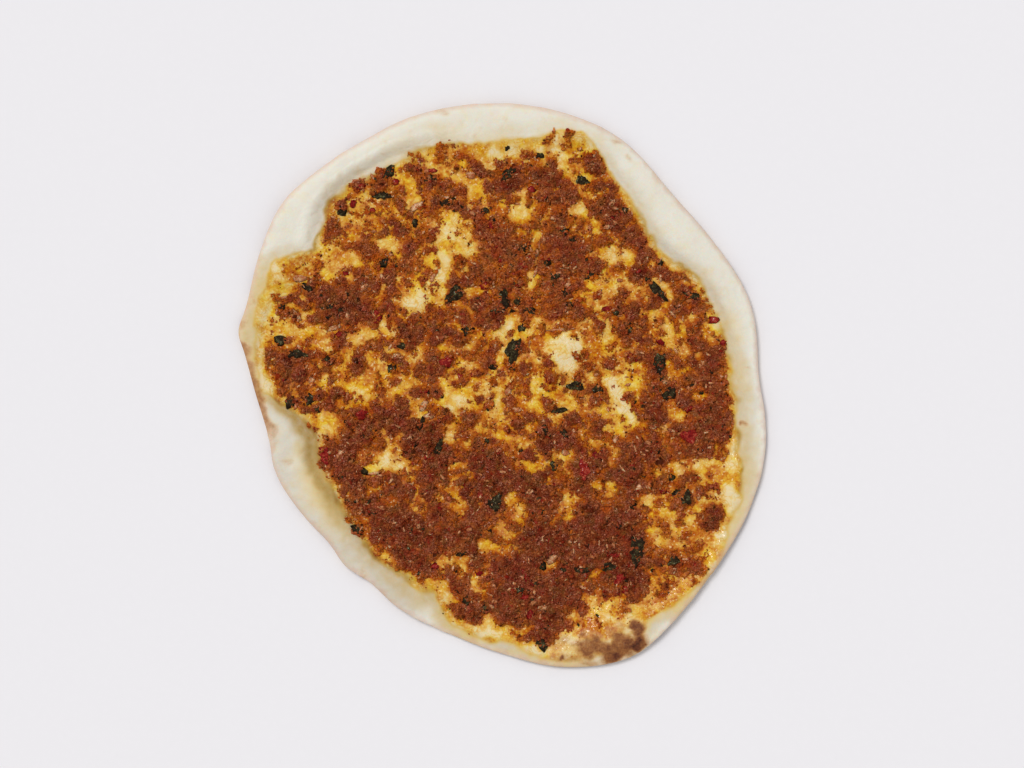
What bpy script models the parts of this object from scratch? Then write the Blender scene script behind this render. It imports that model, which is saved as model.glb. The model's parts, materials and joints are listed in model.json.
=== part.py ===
"""A lahmacun: a thin round flatbread with a puffed rim, spread with minced meat, herbs and red pepper.

It lies flat with its topping up. The origin is under the middle of its outline, at the level of its
underside. Lengths are in metres, and a distance with no unit beside it is written in millimetres
times MM. Directions are in degrees, counter-clockwise from +X as seen from above.
"""

import bisect
import math
import random

import bmesh
import bpy
from mathutils import Matrix, Vector, noise
from mathutils.bvhtree import BVHTree

MM = 0.001
TURN = 2 * math.pi
UP = Vector((0, 0, 1))

# Thickness of the level dough, and the space left between two pieces that touch
DOUGH = 2.8 * MM
CLEARANCE = 0.3 * MM

# Slow unevenness of the rolled dough: its height, and the distance from one swell to the next
SWELL = 0.5 * MM
SWELL_SPAN = 45 * MM

# Meat: thickness of the spread, how uneven it is, and the distance from one thick place to the next
SPREAD = 1.7 * MM
SPREAD_UNEVEN = 0.45
SPREAD_SPAN = 11 * MM
SPREAD_EDGE_SHARE = 0.6
SPREAD_EDGE_POWER = 12

# Outer edge of the bread, hand-stretched and so uneven: direction, distance from the middle in mm
BREAD_EDGE = (
    (2, 136.8), (18, 139.6), (35, 136.1), (49, 136.6), (64, 145.6), (78, 148.6), (90, 150.1),
    (111, 150.3), (118, 149.0), (132, 150.2), (140, 151.6), (151, 146.8), (163, 141.6), (169, 143.6),
    (172, 138.0), (178, 133.4), (185, 129.2), (193, 126.6), (200, 129.2), (212, 126.6), (223, 124.0),
    (229, 127.6), (236, 125.6), (244, 130.2), (258, 135.0), (271, 143.4), (283, 154.0), (296, 160.6),
    (306, 155.2), (319, 149.6), (335, 147.3), (346, 144.8), (353, 141.4),
)

# Edge of the meat, with its bays and tongues: direction, distance from the middle in mm
TOPPING_EDGE = (
    (0, 121), (23, 119), (32, 113), (43, 110), (57, 118), (64, 127), (71, 134), (78, 126), (85, 122),
    (92, 115), (99, 125), (107, 131), (128, 134), (136, 130), (144, 122), (151, 117), (158, 126),
    (166, 129), (175, 125), (182, 119), (189, 107), (195, 102), (203, 108), (212, 104), (223, 107),
    (235, 112), (251, 112), (261, 126), (268, 125), (280, 140), (294, 125), (303, 137), (319, 141),
    (330, 135), (336, 125), (350, 126),
)

# Height of the rim's crest above the underside: direction, height in mm
RIM_HEIGHT = (
    (0, 7.0), (20, 8.2), (44, 8.8), (62, 6.8), (76, 6.2), (92, 6.6), (115, 8.0), (140, 8.6), (156, 6.4),
    (168, 4.6), (182, 4.4), (192, 7.2), (200, 7.8), (204, 6.0), (212, 7.6), (232, 6.6), (246, 7.8),
    (254, 7.0), (260, 4.6), (284, 4.4), (300, 5.4), (312, 4.4), (330, 4.2), (344, 5.8),
)

# Where across its width the rim reaches its crest: near the meat where the dough was folded inwards
RIM_CREST = ((0, 0.5), (30, 0.34), (52, 0.26), (70, 0.5), (140, 0.5), (205, 0.3), (245, 0.3), (262, 0.5))

# How far the edge bends up from the level that the bread lies on: direction, height in mm
EDGE_LIFT = (
    (0, 0.6), (60, 1.2), (100, 2.2), (135, 3.4), (170, 1.6), (230, 0.5), (285, 1.2), (310, 3.0), (335, 1.8),
)
LIFT_START = 0.7

# Creases across the rim: direction, width in degrees, share of the crest's height that it takes away
CREASES = (
    (47, 2.6, 0.10), (63, 3.0, 0.16), (158, 3.0, 0.12), (203, 3.2, 0.22), (228, 3.0, 0.12), (256, 3.4, 0.2),
)

# The narrowest that the rim may be, and its profile: how high its outermost line and its roll lie
RIM_NARROWEST = 7 * MM
RIM_OUTERMOST = 0.42
RIM_TUCK = 0.62
RIM_EASE = 1.4
RIM_TOP_SHARES = (0.12, 0.28, 0.46, 0.64, 0.8, 0.93)
RIM_UNDER_SHARES = (0.96, 0.84, 0.62)

# Rings of the level part, from the middle out: share of the distance to the meat's edge, points in it
TOP_RINGS = (
    (0.1, 12), (0.2, 24), (0.3, 24), (0.4, 48), (0.5, 48), (0.6, 48), (0.7, 48), (0.8, 48), (0.9, 96),
    (1.0, 96),
)
UNDER_RINGS = ((0.25, 12), (0.5, 24), (0.72, 48), (0.9, 96))
RIM_POINTS = 96

# Bubbles that rose in the dough, the last two as blisters on the rim: x, y, half width, height in mm
BUBBLES = (
    (33.7, 18.0, 12.0, 2.6), (53.0, 51.0, 9.0, 1.6), (-45.0, 47.0, 9.0, 1.5), (-30.0, 76.0, 9.0, 1.2),
    (62.0, -5.0, 9.0, 1.2), (-74.0, 1.0, 9.0, 1.3), (12.5, 92.0, 8.5, 1.3), (88.0, -73.0, 10.0, 1.3),
    (-14.0, -2.0, 9.0, 1.0), (56.0, -122.0, 11.0, 1.6), (-59.0, -40.0, 8.0, 1.0), (69.0, -139.0, 9.0, 2.0),
    (46.0, -143.0, 8.0, 1.4),
)

# Bare patches in the meat where the dough shows: x, y, half length, half width in mm, direction
BARE_PATCHES = (
    (-27.3, 83.0, 12.0, 7.4, 60), (-33.0, 64.0, 12.5, 4.8, 75), (-45.0, 47.0, 10.6, 7.4, 20),
    (12.5, 92.5, 9.8, 7.6, 70), (-61.7, 77.0, 8.5, 4.4, -25), (-87.0, 65.5, 10.0, 6.0, -10),
    (-48.5, 103.5, 12.0, 4.4, 110), (-14.5, 101.0, 8.0, 5.0, -60), (53.3, 50.5, 12.0, 6.6, 0),
    (63.0, 66.5, 11.0, 4.6, -30), (33.7, 17.6, 15.0, 12.0, 0), (5.0, 33.5, 7.6, 6.0, 0),
    (18.0, -2.5, 10.0, 4.6, 90), (62.8, -5.0, 17.0, 6.2, 95), (-14.0, 0.0, 15.0, 7.0, 20),
    (-8.5, -23.5, 14.0, 5.0, -20), (-75.0, 0.0, 10.6, 7.6, 20), (-71.5, 27.0, 9.5, 4.8, 5),
    (-48.5, 10.5, 9.6, 4.8, 60), (-59.0, -39.5, 9.5, 6.0, -25), (89.3, 29.5, 14.0, 5.2, -50),
    (89.0, -74.0, 13.0, 8.0, -20), (54.9, -122.0, 15.0, 8.5, 10), (36.3, -59.2, 6.0, 4.2, 60),
)
PATCH_POINTS = 10
PATCH_REACH = (-10 * MM, 30 * MM)
PATCH_UNEVEN = 0.28

# Leaves, flat-leaf parsley cooked dark: x, y, length and width in mm, direction
LEAVES = (
    (71.8, -87.3, 15.5, 9.2, 92), (-25.0, 48.0, 13.0, 7.0, 35), (84.0, 11.8, 11.6, 7.0, 78),
    (89.3, -4.3, 8.6, 6.8, 55), (82.9, 50.0, 13.4, 5.0, -42), (39.2, -0.4, 9.4, 5.4, 5),
    (51.0, -2.2, 6.4, 4.4, 12), (6.2, 18.5, 15.0, 7.6, 72), (-3.4, -62.2, 10.6, 7.6, 48),
    (1.4, 46.0, 9.6, 6.6, 104), (3.6, 112.3, 9.6, 5.0, 34), (42.8, 108.6, 7.6, 4.8, -22),
    (-108.2, 16.4, 10.4, 5.4, -12), (56.8, -96.4, 7.6, 5.2, 14), (42.8, -98.0, 8.2, 4.0, -6),
    (91.4, -93.0, 6.6, 5.8, 30), (98.2, -59.6, 8.6, 5.8, 68), (-33.2, -32.6, 10.4, 3.8, 66),
)
LEAF_THICKNESS = 0.35 * MM
LEAF_CURL = 1.1 * MM
LEAF_CELLS = (5, 2)
# How far round each point of a leaf the highest place under it is looked for, and how much of its curl
# is at its sides
REST_STEP = 1.2 * MM
SIDE_CURL = 0.75

# Pieces of red pepper: x, y, length and width in mm, direction
PEPPER = (
    (99.4, -26.8, 10.4, 6.4, 8), (43.8, -44.8, 9.4, 6.2, 84), (-29.4, 12.4, 6.6, 5.2, 30),
    (-93.6, -37.6, 7.4, 5.2, 78), (-74.4, -15.6, 6.6, 4.6, 16), (62.6, -102.6, 6.0, 4.2, 40),
)
PEPPER_THICKNESS = 1.2 * MM
PEPPER_CURL = 0.9 * MM
PEPPER_CELLS = (4, 2)

# Balls of mince that stand out of the spread: x, y, width in mm
MEAT_BALLS = (
    (-84.6, 94.0, 9.5), (-46.0, 117.0, 8.4), (-14.6, 114.6, 7.6), (46.4, 115.6, 11.4), (115.0, -32.4, 11.2),
    (-16.2, -118.0, 9.2), (112.6, -68.0, 11.4), (-76.0, 11.4, 8.8), (-118.0, 16.0, 6.6),
    (-40.0, 12.4, 6.4), (-16.7, -16.0, 7.4), (8.0, -18.6, 8.2), (1.0, -81.0, 6.6),
)
# Balls wider than this, in mm, get more faces; a ball of 20 faces turned by this angle has one on top
LARGE_BALL = 9
BALL_FACE_UP = math.radians(37.4)

# Smaller crumbs of mince and flecks of herb, scattered by chance over the spread
CRUMB_COUNT = 92
CRUMB_WIDTH = (5.4 * MM, 10.2 * MM)
CRUMB_FLATNESS = 0.46
CRUMB_UNEVEN = 0.22
CRUMB_SLIMNESS = (0.72, 0.95)
CRUMB_SINK = 0.6 * MM
FLECK_COUNT = 20
FLECK_LENGTH = (2.4 * MM, 4.2 * MM)
FLECK_SLIMNESS = 0.56
FLECK_THICKNESS = 1.1 * MM
FLECK_RISE = 0.08 * MM
FLECK_TILT = 0.2
# Room left to the meat's edge, and to a leaf or a piece of pepper
EDGE_MARGIN = 1.5 * MM
PIECE_MARGIN = 0.9 * MM
SCATTER_SEED = 20
SCATTER_TRIES = 6000

# Faces that meet at a sharper angle than this are shaded with an edge
SHARP_ANGLE = math.radians(50)

# Colours in linear light, with roughness
CREAM = ((0.74, 0.62, 0.42), 0.7)
MEAT_BROWN = ((0.21, 0.065, 0.022), 0.45)
HERB_GREEN = ((0.018, 0.035, 0.01), 0.5)
PEPPER_RED = ((0.35, 0.02, 0.012), 0.3)


def clear_scene():
    """Removes whatever the scene holds."""
    for item in list(bpy.data.objects):
        bpy.data.objects.remove(item, do_unlink=True)


def material(name, finish):
    """A Principled material of this colour and roughness."""
    colour, roughness = finish
    made = bpy.data.materials.new(name)
    made.use_nodes = True
    shader = made.node_tree.nodes["Principled BSDF"]
    shader.inputs["Base Color"].default_value = (*colour, 1)
    shader.inputs["Roughness"].default_value = roughness
    shader.inputs["Metallic"].default_value = 0
    made.diffuse_color = (*colour, 1)
    return made


def closed_curve(stops):
    """A smooth closed curve through (degrees, value) stops, as a function of the angle in radians."""
    angles = [math.radians(degrees) for degrees, _ in stops]
    values = [value for _, value in stops]
    count = len(stops)

    def slope(i):
        before = (i - 1) % count
        after = (i + 1) % count
        return (values[after] - values[before]) / ((angles[after] - angles[before]) % TURN)

    def at(angle):
        angle %= TURN
        i = (bisect.bisect_right(angles, angle) - 1) % count
        j = (i + 1) % count
        span = (angles[j] - angles[i]) % TURN
        t = ((angle - angles[i]) % TURN) / span
        rise = t * t * (3 - 2 * t)
        start = t * (1 - t) ** 2 * span * slope(i)
        end = t * t * (t - 1) * span * slope(j)
        return values[i] + (values[j] - values[i]) * rise + start + end

    return at


bread_edge_mm = closed_curve(BREAD_EDGE)
topping_edge_mm = closed_curve(TOPPING_EDGE)
rim_height_mm = closed_curve(RIM_HEIGHT)
rim_crest = closed_curve(RIM_CREST)
edge_lift_mm = closed_curve(EDGE_LIFT)


def bread_edge(angle):
    """Distance from the middle to the bread's outer edge."""
    return bread_edge_mm(angle) * MM


def topping_edge(angle):
    """Distance from the middle to the edge of the meat, which leaves room for the rim."""
    return min(topping_edge_mm(angle) * MM, bread_edge(angle) - RIM_NARROWEST)


def rim_height(angle):
    """Height of the rim's crest, less what the creases take away."""
    height = rim_height_mm(angle) * MM
    for degrees, width, share in CREASES:
        away = (math.degrees(angle) - degrees + 180) % 360 - 180
        height *= 1 - share * math.exp(-((away / width) ** 2))
    return height


def lift(angle, distance):
    """How far the bread has bent up at this distance from the middle."""
    share = (distance / bread_edge(angle) - LIFT_START) / (1 - LIFT_START)
    return edge_lift_mm(angle) * MM * max(share, 0) ** 2


def bubble_height(angle, distance):
    """How far the bubbles raise the dough at this place."""
    x = distance * math.cos(angle)
    y = distance * math.sin(angle)
    height = 0
    for middle_x, middle_y, half, rise in BUBBLES:
        away = math.hypot(x - middle_x * MM, y - middle_y * MM) / (half * MM)
        height += rise * MM * math.exp(-away * away)
    return height


def rolled_thickness(angle, distance):
    """Thickness of the rolled dough before its bubbles."""
    point = Vector((distance * math.cos(angle), distance * math.sin(angle), 0))
    return DOUGH + SWELL * noise.noise(point / SWELL_SPAN)


def dough_height(angle, distance):
    """Height of the dough's upper face inside the rim."""
    thickness = rolled_thickness(angle, distance) + bubble_height(angle, distance)
    return thickness + lift(angle, distance)


def spread_thickness(angle, share):
    """Thickness of the meat, thinner at its edge."""
    distance = share * topping_edge(angle)
    point = Vector((distance * math.cos(angle), distance * math.sin(angle), 0.02))
    uneven = 1 + SPREAD_UNEVEN * noise.noise(point / SPREAD_SPAN)
    return SPREAD * uneven * (1 - (1 - SPREAD_EDGE_SHARE) * share**SPREAD_EDGE_POWER)


def point_at(angle, distance, height):
    """The point at this angle, distance from the middle and height."""
    return distance * math.cos(angle), distance * math.sin(angle), height


def ring(mesh, count, place):
    """A closed ring of points; place gives each from its angle."""
    return [mesh.verts.new(place(TURN * i / count)) for i in range(count)]


def bridge(mesh, inner, outer):
    """Triangles between two rings, where the outer has as many points as the inner, or twice as many."""
    double = len(outer) > len(inner)
    for i, a in enumerate(inner):
        b = inner[(i + 1) % len(inner)]
        if double:
            c, d = outer[2 * i], outer[2 * i + 1]
            e = outer[(2 * i + 2) % len(outer)]
            mesh.faces.new((a, c, d))
            mesh.faces.new((a, d, b))
            mesh.faces.new((b, d, e))
        else:
            c, d = outer[i], outer[(i + 1) % len(outer)]
            mesh.faces.new((a, c, d))
            mesh.faces.new((a, d, b))


def disc(mesh, rings, place):
    """A disc of rings round a middle point, and its outermost ring. place takes an angle and a share."""
    middle = mesh.verts.new(place(0, 0))
    share, count = rings[0]
    last = ring(mesh, count, lambda angle: place(angle, share))
    for i, a in enumerate(last):
        mesh.faces.new((middle, a, last[(i + 1) % count]))
    for share, count in rings[1:]:
        following = ring(mesh, count, lambda angle: place(angle, share))
        bridge(mesh, last, following)
        last = following
    return last


def finish_object(mesh, name, look):
    """Makes the mesh an object whose faces point out, shaded smooth except at sharp edges."""
    bmesh.ops.recalc_face_normals(mesh, faces=mesh.faces)
    data = bpy.data.meshes.new(name)
    mesh.to_mesh(data)
    mesh.free()
    made = bpy.data.objects.new(name, data)
    bpy.context.scene.collection.objects.link(made)
    data.materials.append(look)
    data.shade_smooth()
    data.set_sharp_from_angle(angle=SHARP_ANGLE)
    return made


def rim_top(share):
    """Places the ring that lies this share of the way across the rim's upper side."""

    def place(angle):
        inner = topping_edge(angle)
        outer = bread_edge(angle)
        distance = inner + share * (outer - inner)
        crest = rim_crest(angle)
        height = rim_height(angle)
        if share < crest:
            low = rolled_thickness(angle, inner)
            rise = math.sin(0.25 * TURN * share / crest) ** RIM_EASE
        else:
            low = height * RIM_OUTERMOST
            rise = math.sqrt(1 - ((share - crest) / (1 - crest)) ** 2)
        blister = bubble_height(angle, distance) * (1 - share**4)
        return point_at(angle, distance, low + (height - low) * rise + blister + lift(angle, distance))

    return place


def rim_under(share):
    """Places the ring that lies this share of the way across the rim's underside."""

    def place(angle):
        inner = topping_edge(angle)
        distance = inner + share * (bread_edge(angle) - inner)
        roll = max(share - RIM_TUCK, 0) / (1 - RIM_TUCK)
        tuck = rim_height(angle) * RIM_OUTERMOST * (1 - math.sqrt(1 - roll * roll))
        return point_at(angle, distance, tuck + lift(angle, distance))

    return place


def make_bread(look):
    """The dough: a level middle inside a puffed rim, closed below."""
    mesh = bmesh.new()

    def top(angle, share):
        distance = share * topping_edge(angle)
        return point_at(angle, distance, dough_height(angle, distance))

    def under(angle, share):
        distance = share * topping_edge(angle)
        return point_at(angle, distance, lift(angle, distance))

    last = disc(mesh, TOP_RINGS, top)
    for share in (*RIM_TOP_SHARES, 1):
        following = ring(mesh, RIM_POINTS, rim_top(share))
        bridge(mesh, last, following)
        last = following
    for share in RIM_UNDER_SHARES:
        following = ring(mesh, RIM_POINTS, rim_under(share))
        bridge(mesh, last, following)
        last = following
    bridge(mesh, last, disc(mesh, UNDER_RINGS, under))
    return finish_object(mesh, "bread", look)


def make_spread(look):
    """The spread of meat before its bare patches: its underside follows the dough at the clearance."""
    mesh = bmesh.new()

    def floor(angle, share):
        distance = share * topping_edge(angle)
        return point_at(angle, distance, dough_height(angle, distance) + CLEARANCE)

    def top(angle, share):
        x, y, height = floor(angle, share)
        return x, y, height + spread_thickness(angle, share)

    bridge(mesh, disc(mesh, TOP_RINGS, floor), disc(mesh, TOP_RINGS, top))
    return finish_object(mesh, "meat_topping", look)


def top_finder(core):
    """A function that gives the height of the bare spread at a place."""
    tree = BVHTree.FromPolygons(
        [corner.co for corner in core.data.vertices],
        [face.vertices for face in core.data.polygons],
    )

    def height_at(x, y):
        hit = tree.ray_cast(Vector((x, y, 1)), -UP)[0]
        return hit.z if hit else 0

    return height_at


def helper(mesh, name, group):
    """An object that only a Boolean uses, in this collection."""
    bmesh.ops.recalc_face_normals(mesh, faces=mesh.faces)
    data = bpy.data.meshes.new(name)
    mesh.to_mesh(data)
    mesh.free()
    made = bpy.data.objects.new(name, data)
    made.hide_render = True
    made.display_type = "WIRE"
    group.objects.link(made)
    return made


def new_group(name):
    """A collection for helpers."""
    group = bpy.data.collections.new(name)
    bpy.context.scene.collection.children.link(group)
    return group


def apply_boolean(target, group, operation):
    """Joins or cuts with every object of the group, applies it, and removes the group."""
    modifier = target.modifiers.new(operation.title(), "BOOLEAN")
    modifier.operation = operation
    modifier.operand_type = "COLLECTION"
    modifier.collection = group
    modifier.solver = "EXACT"
    bpy.context.view_layer.objects.active = target
    bpy.ops.object.modifier_apply(modifier=modifier.name)
    for item in list(group.objects):
        bpy.data.objects.remove(item, do_unlink=True)
    bpy.data.collections.remove(group)


def patch_outline(patch):
    """Corners of an uneven oval, in the plane."""
    x, y, half_length, half_width, degrees = patch
    turned = Matrix.Rotation(math.radians(degrees), 2)
    for i in range(PATCH_POINTS):
        angle = TURN * i / PATCH_POINTS
        reach = 1 + PATCH_UNEVEN * noise.noise(Vector((x, y, 2 * i)))
        corner = Vector((half_length * math.cos(angle), half_width * math.sin(angle))) * reach
        yield (turned @ corner + Vector((x, y))) * MM


def cut_bare_patches(core):
    """Cuts the patches through the meat with upright prisms."""
    group = new_group("patches")
    for patch in BARE_PATCHES:
        mesh = bmesh.new()
        outline = list(patch_outline(patch))
        low, high = ([mesh.verts.new((*corner, level)) for corner in outline] for level in PATCH_REACH)
        mesh.faces.new(low)
        mesh.faces.new(high)
        for i in range(PATCH_POINTS):
            following = (i + 1) % PATCH_POINTS
            mesh.faces.new((low[i], low[following], high[following], high[i]))
        helper(mesh, "patch", group)
    apply_boolean(core, group, "DIFFERENCE")


def resting_height(x, y, height_at):
    """The lowest that a thin piece can lie here: clear of the highest place close round the point."""
    steps = (-REST_STEP, 0, REST_STEP)
    return CLEARANCE + max(height_at(x + step_x, y + step_y) for step_x in steps for step_y in steps)


def curled_columns(place, shape, height_at):
    """Points of a thin piece's underside, in columns along its length, curled up at its sides."""
    x, y, length, width, degrees = place
    _, curl, (along, across), half_width_at = shape
    turned = Matrix.Rotation(math.radians(degrees), 2)
    columns = []
    for i in range(along + 1):
        share = i / along
        wave = curl * (0.5 + 0.5 * math.sin(5 * share + x))
        column = []
        for j in range(across + 1):
            side = 2 * j / across - 1
            flat = Vector((length * (share - 0.5), side * width / 2 * half_width_at(share, side)))
            at = (turned @ flat + Vector((x, y))) * MM
            height = resting_height(at.x, at.y, height_at) + wave * (1 - SIDE_CURL + SIDE_CURL * side * side)
            column.append(Vector((*at, height)))
        columns.append(column)
    return columns


def flat_piece(name, place, shape, look, height_at):
    """A thin curled piece that lies on the spread, both faces split alike.

    shape holds its thickness, its curl, its cells along and across, and its half width at a share of
    its length, as a function.
    """
    mesh = bmesh.new()
    columns = curled_columns(place, shape, height_at)
    borders = []
    for rise in (0, shape[0]):
        grid = [[mesh.verts.new(point + rise * UP) for point in column] for column in columns]
        for one, next_one in zip(grid, grid[1:]):
            for j in range(len(one) - 1):
                mesh.faces.new((one[j], next_one[j], next_one[j + 1]))
                mesh.faces.new((one[j], next_one[j + 1], one[j + 1]))
        borders.append(border_of(grid))
    bridge(mesh, *borders)
    return finish_object(mesh, name, look)


def border_of(grid):
    """The points round a grid's border, in order."""
    near_side = [column[0] for column in grid[1:-1]]
    far_side = [column[-1] for column in grid[1:-1]]
    return grid[0][::-1] + near_side + grid[-1] + far_side[::-1]


def leaf_half_width(share, side):
    """A leaf is pointed at its tip, blunt at its stalk, with a toothed margin."""
    oval = math.sin(math.pi * (0.12 + 0.8 * share)) ** 0.8
    tooth = 1 - 0.16 * math.cos(3 * TURN * share) * abs(side)
    return oval * tooth


def pepper_half_width(share, side):
    """A chopped piece of pepper is blunt, a little narrower at one end."""
    return 0.62 + 0.38 * math.sin(math.pi * share) - 0.12 * share


def add_crumb(group, x, y, width, detail, chance, height_at):
    """One crumb of mince: a ball of few faces, flattened, uneven, and sunk a little into the spread."""
    half = Vector((width, width * chance.uniform(*CRUMB_SLIMNESS), width * CRUMB_FLATNESS)) / 2
    centre = Vector((x, y, height_at(x, y) - CRUMB_SINK + half.z))
    turned = Matrix.Rotation(chance.uniform(0, TURN), 3, "Z")
    face_up = Matrix.Rotation(BALL_FACE_UP, 3, "Y")
    unlike_others = Vector((chance.uniform(0, 99), 0, 0))
    mesh = bmesh.new()
    bmesh.ops.create_icosphere(mesh, subdivisions=detail, radius=1)
    for corner in mesh.verts:
        direction = face_up @ corner.co.normalized()
        reach = 1 + CRUMB_UNEVEN * noise.noise(direction * 1.7 + unlike_others)
        corner.co = centre + turned @ (half * reach * direction)
    helper(mesh, "crumb", group)


def add_fleck(group, x, y, length, chance, height_at):
    """One chopped fleck of herb, a flat diamond half sunk into the spread."""
    mesh = bmesh.new()
    turned = Matrix.Rotation(chance.uniform(0, TURN), 3, "Z") @ Matrix.Rotation(FLECK_TILT, 3, "Y")
    half = Vector((length / 2, length * FLECK_SLIMNESS / 2, FLECK_THICKNESS / 2))
    centre = Vector((x, y, height_at(x, y) + FLECK_RISE))
    around = ring(mesh, 4, lambda angle: (math.cos(angle), math.sin(angle), 0))
    for tip_height in (1, -1):
        tip = mesh.verts.new((0, 0, tip_height))
        for i, corner in enumerate(around):
            mesh.faces.new((tip, corner, around[(i + 1) % 4]))
    for corner in mesh.verts:
        corner.co = centre + turned @ (half * corner.co)
    helper(mesh, "fleck", group)


def distance_to_piece(x, y, place):
    """Distance from a point to the middle line of a leaf or a piece of pepper, less its half width."""
    middle_x, middle_y, length, width, degrees = place
    turned = Matrix.Rotation(-math.radians(degrees), 2)
    across = turned @ Vector((x - middle_x * MM, y - middle_y * MM))
    reach = max((length - width) / 2 * MM, 0)
    past = max(abs(across.x) - reach, 0)
    return math.hypot(past, across.y) - width / 2 * MM


def in_patch(x, y, margin):
    """Whether a point lies in a bare patch or within the margin of it."""
    for middle_x, middle_y, half_length, half_width, degrees in BARE_PATCHES:
        turned = Matrix.Rotation(-math.radians(degrees), 2)
        across = turned @ Vector((x - middle_x * MM, y - middle_y * MM))
        if math.hypot(across.x / (half_length * MM + margin), across.y / (half_width * MM + margin)) < 1:
            return True
    return False


def room_for(x, y, half, taken, apart):
    """Whether something of this half width fits here: on the meat, clear of leaves, pepper and crumbs."""
    if math.hypot(x, y) + half + EDGE_MARGIN > topping_edge(math.atan2(y, x)):
        return False
    if in_patch(x, y, half * 0.5):
        return False
    if any(distance_to_piece(x, y, place) < half + PIECE_MARGIN for place in LEAVES + PEPPER):
        return False
    return all(math.hypot(x - a, y - b) > apart * (half + c) for a, b, c in taken)


def scatter(height_at):
    """A collection with the balls, crumbs and flecks, placed by a seeded draw."""
    chance = random.Random(SCATTER_SEED)
    group = new_group("scattered")
    taken = []
    furthest = max(distance for _, distance in TOPPING_EDGE) * MM
    for x, y, width in MEAT_BALLS:
        detail = 2 if width > LARGE_BALL else 1
        add_crumb(group, x * MM, y * MM, width * MM, detail, chance, height_at)
        taken.append((x * MM, y * MM, width * MM / 2))
    kinds = ((CRUMB_COUNT, CRUMB_WIDTH, 0.98), (FLECK_COUNT, FLECK_LENGTH, 1.0))
    for kind, (count, sizes, apart) in enumerate(kinds):
        made = 0
        for _ in range(SCATTER_TRIES):
            if made == count:
                break
            reach = furthest * math.sqrt(chance.random())
            angle = chance.uniform(0, TURN)
            x = reach * math.cos(angle)
            y = reach * math.sin(angle)
            size = chance.uniform(*sizes)
            if not room_for(x, y, size / 2, taken, apart):
                continue
            if kind == 0:
                add_crumb(group, x, y, size, 1, chance, height_at)
            else:
                add_fleck(group, x, y, size, chance, height_at)
            taken.append((x, y, size / 2))
            made += 1
        print("scattered", made, "of", count)
    return group


def main():
    clear_scene()
    meat = material("minced_meat", MEAT_BROWN)
    herb = material("herb", HERB_GREEN)
    red = material("red_pepper", PEPPER_RED)
    make_bread(material("baked_dough", CREAM))
    core = make_spread(meat)
    height_at = top_finder(core)
    leaf_shape = (LEAF_THICKNESS, LEAF_CURL, LEAF_CELLS, leaf_half_width)
    for number, place in enumerate(LEAVES, 1):
        flat_piece(f"herb_leaf_{number:02d}", place, leaf_shape, herb, height_at)
    pepper_shape = (PEPPER_THICKNESS, PEPPER_CURL, PEPPER_CELLS, pepper_half_width)
    for number, place in enumerate(PEPPER, 1):
        flat_piece(f"pepper_{number:02d}", place, pepper_shape, red, height_at)
    cut_bare_patches(core)
    apply_boolean(core, scatter(height_at), "UNION")


main()
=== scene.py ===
# %% [markdown]
# # Dressing a lahmacun
#
# A lahmacun is a thin bread, stretched by hand, spread almost to its rim with spiced mince and baked
# in a very hot oven. The measured model gives its form: the dough, the spread of meat, eighteen
# leaves and six pieces of pepper. This lesson keeps that form and makes what the eye sees on it: puffed
# white rim, dough soaked orange with oil, and meat that is thousands of small grains.

# %% Load the measured model
import json
import math

import bpy
import numpy as np
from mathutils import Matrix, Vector
from mathutils.bvhtree import BVHTree

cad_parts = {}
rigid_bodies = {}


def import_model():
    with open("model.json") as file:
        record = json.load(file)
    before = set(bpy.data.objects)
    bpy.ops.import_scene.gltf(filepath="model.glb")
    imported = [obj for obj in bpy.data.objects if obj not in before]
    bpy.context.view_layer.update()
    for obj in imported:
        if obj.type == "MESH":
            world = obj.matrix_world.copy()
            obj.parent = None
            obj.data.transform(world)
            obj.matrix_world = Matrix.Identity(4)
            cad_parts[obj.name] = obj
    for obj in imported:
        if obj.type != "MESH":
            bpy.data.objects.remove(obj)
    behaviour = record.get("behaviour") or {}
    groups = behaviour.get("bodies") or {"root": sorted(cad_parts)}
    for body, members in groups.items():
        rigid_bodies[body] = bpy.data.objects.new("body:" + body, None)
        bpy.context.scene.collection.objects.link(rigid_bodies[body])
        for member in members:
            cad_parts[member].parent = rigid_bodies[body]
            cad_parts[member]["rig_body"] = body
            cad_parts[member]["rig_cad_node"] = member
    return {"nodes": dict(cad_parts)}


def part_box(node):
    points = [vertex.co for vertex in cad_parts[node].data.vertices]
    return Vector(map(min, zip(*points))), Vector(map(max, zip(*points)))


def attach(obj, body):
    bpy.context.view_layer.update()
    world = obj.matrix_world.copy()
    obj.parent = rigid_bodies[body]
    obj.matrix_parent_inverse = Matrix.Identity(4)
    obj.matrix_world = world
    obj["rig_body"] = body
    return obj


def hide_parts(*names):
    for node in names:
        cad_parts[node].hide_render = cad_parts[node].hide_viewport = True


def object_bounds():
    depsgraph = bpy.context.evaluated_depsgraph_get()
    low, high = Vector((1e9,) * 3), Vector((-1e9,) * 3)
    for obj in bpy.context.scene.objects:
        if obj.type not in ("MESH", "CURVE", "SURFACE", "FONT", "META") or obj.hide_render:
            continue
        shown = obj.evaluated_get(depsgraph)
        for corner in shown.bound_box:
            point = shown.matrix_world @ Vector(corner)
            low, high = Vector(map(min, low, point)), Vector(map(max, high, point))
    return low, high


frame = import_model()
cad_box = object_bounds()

MM = 0.001
nodes = frame["nodes"]
leaf_names = sorted(name for name in nodes if name.startswith("herb_leaf"))
pepper_names = sorted(name for name in nodes if name.startswith("pepper"))
print("leaves", len(leaf_names), "pieces of pepper", len(pepper_names))

# %% [markdown]
# ## The camera
#
# The bread is photographed from straight above. A long lens keeps the rim's far side from leaning
# away, so the outline in the picture is the real outline. The distance follows from the width of the
# field of view and the lens, as on a copy stand.

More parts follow.
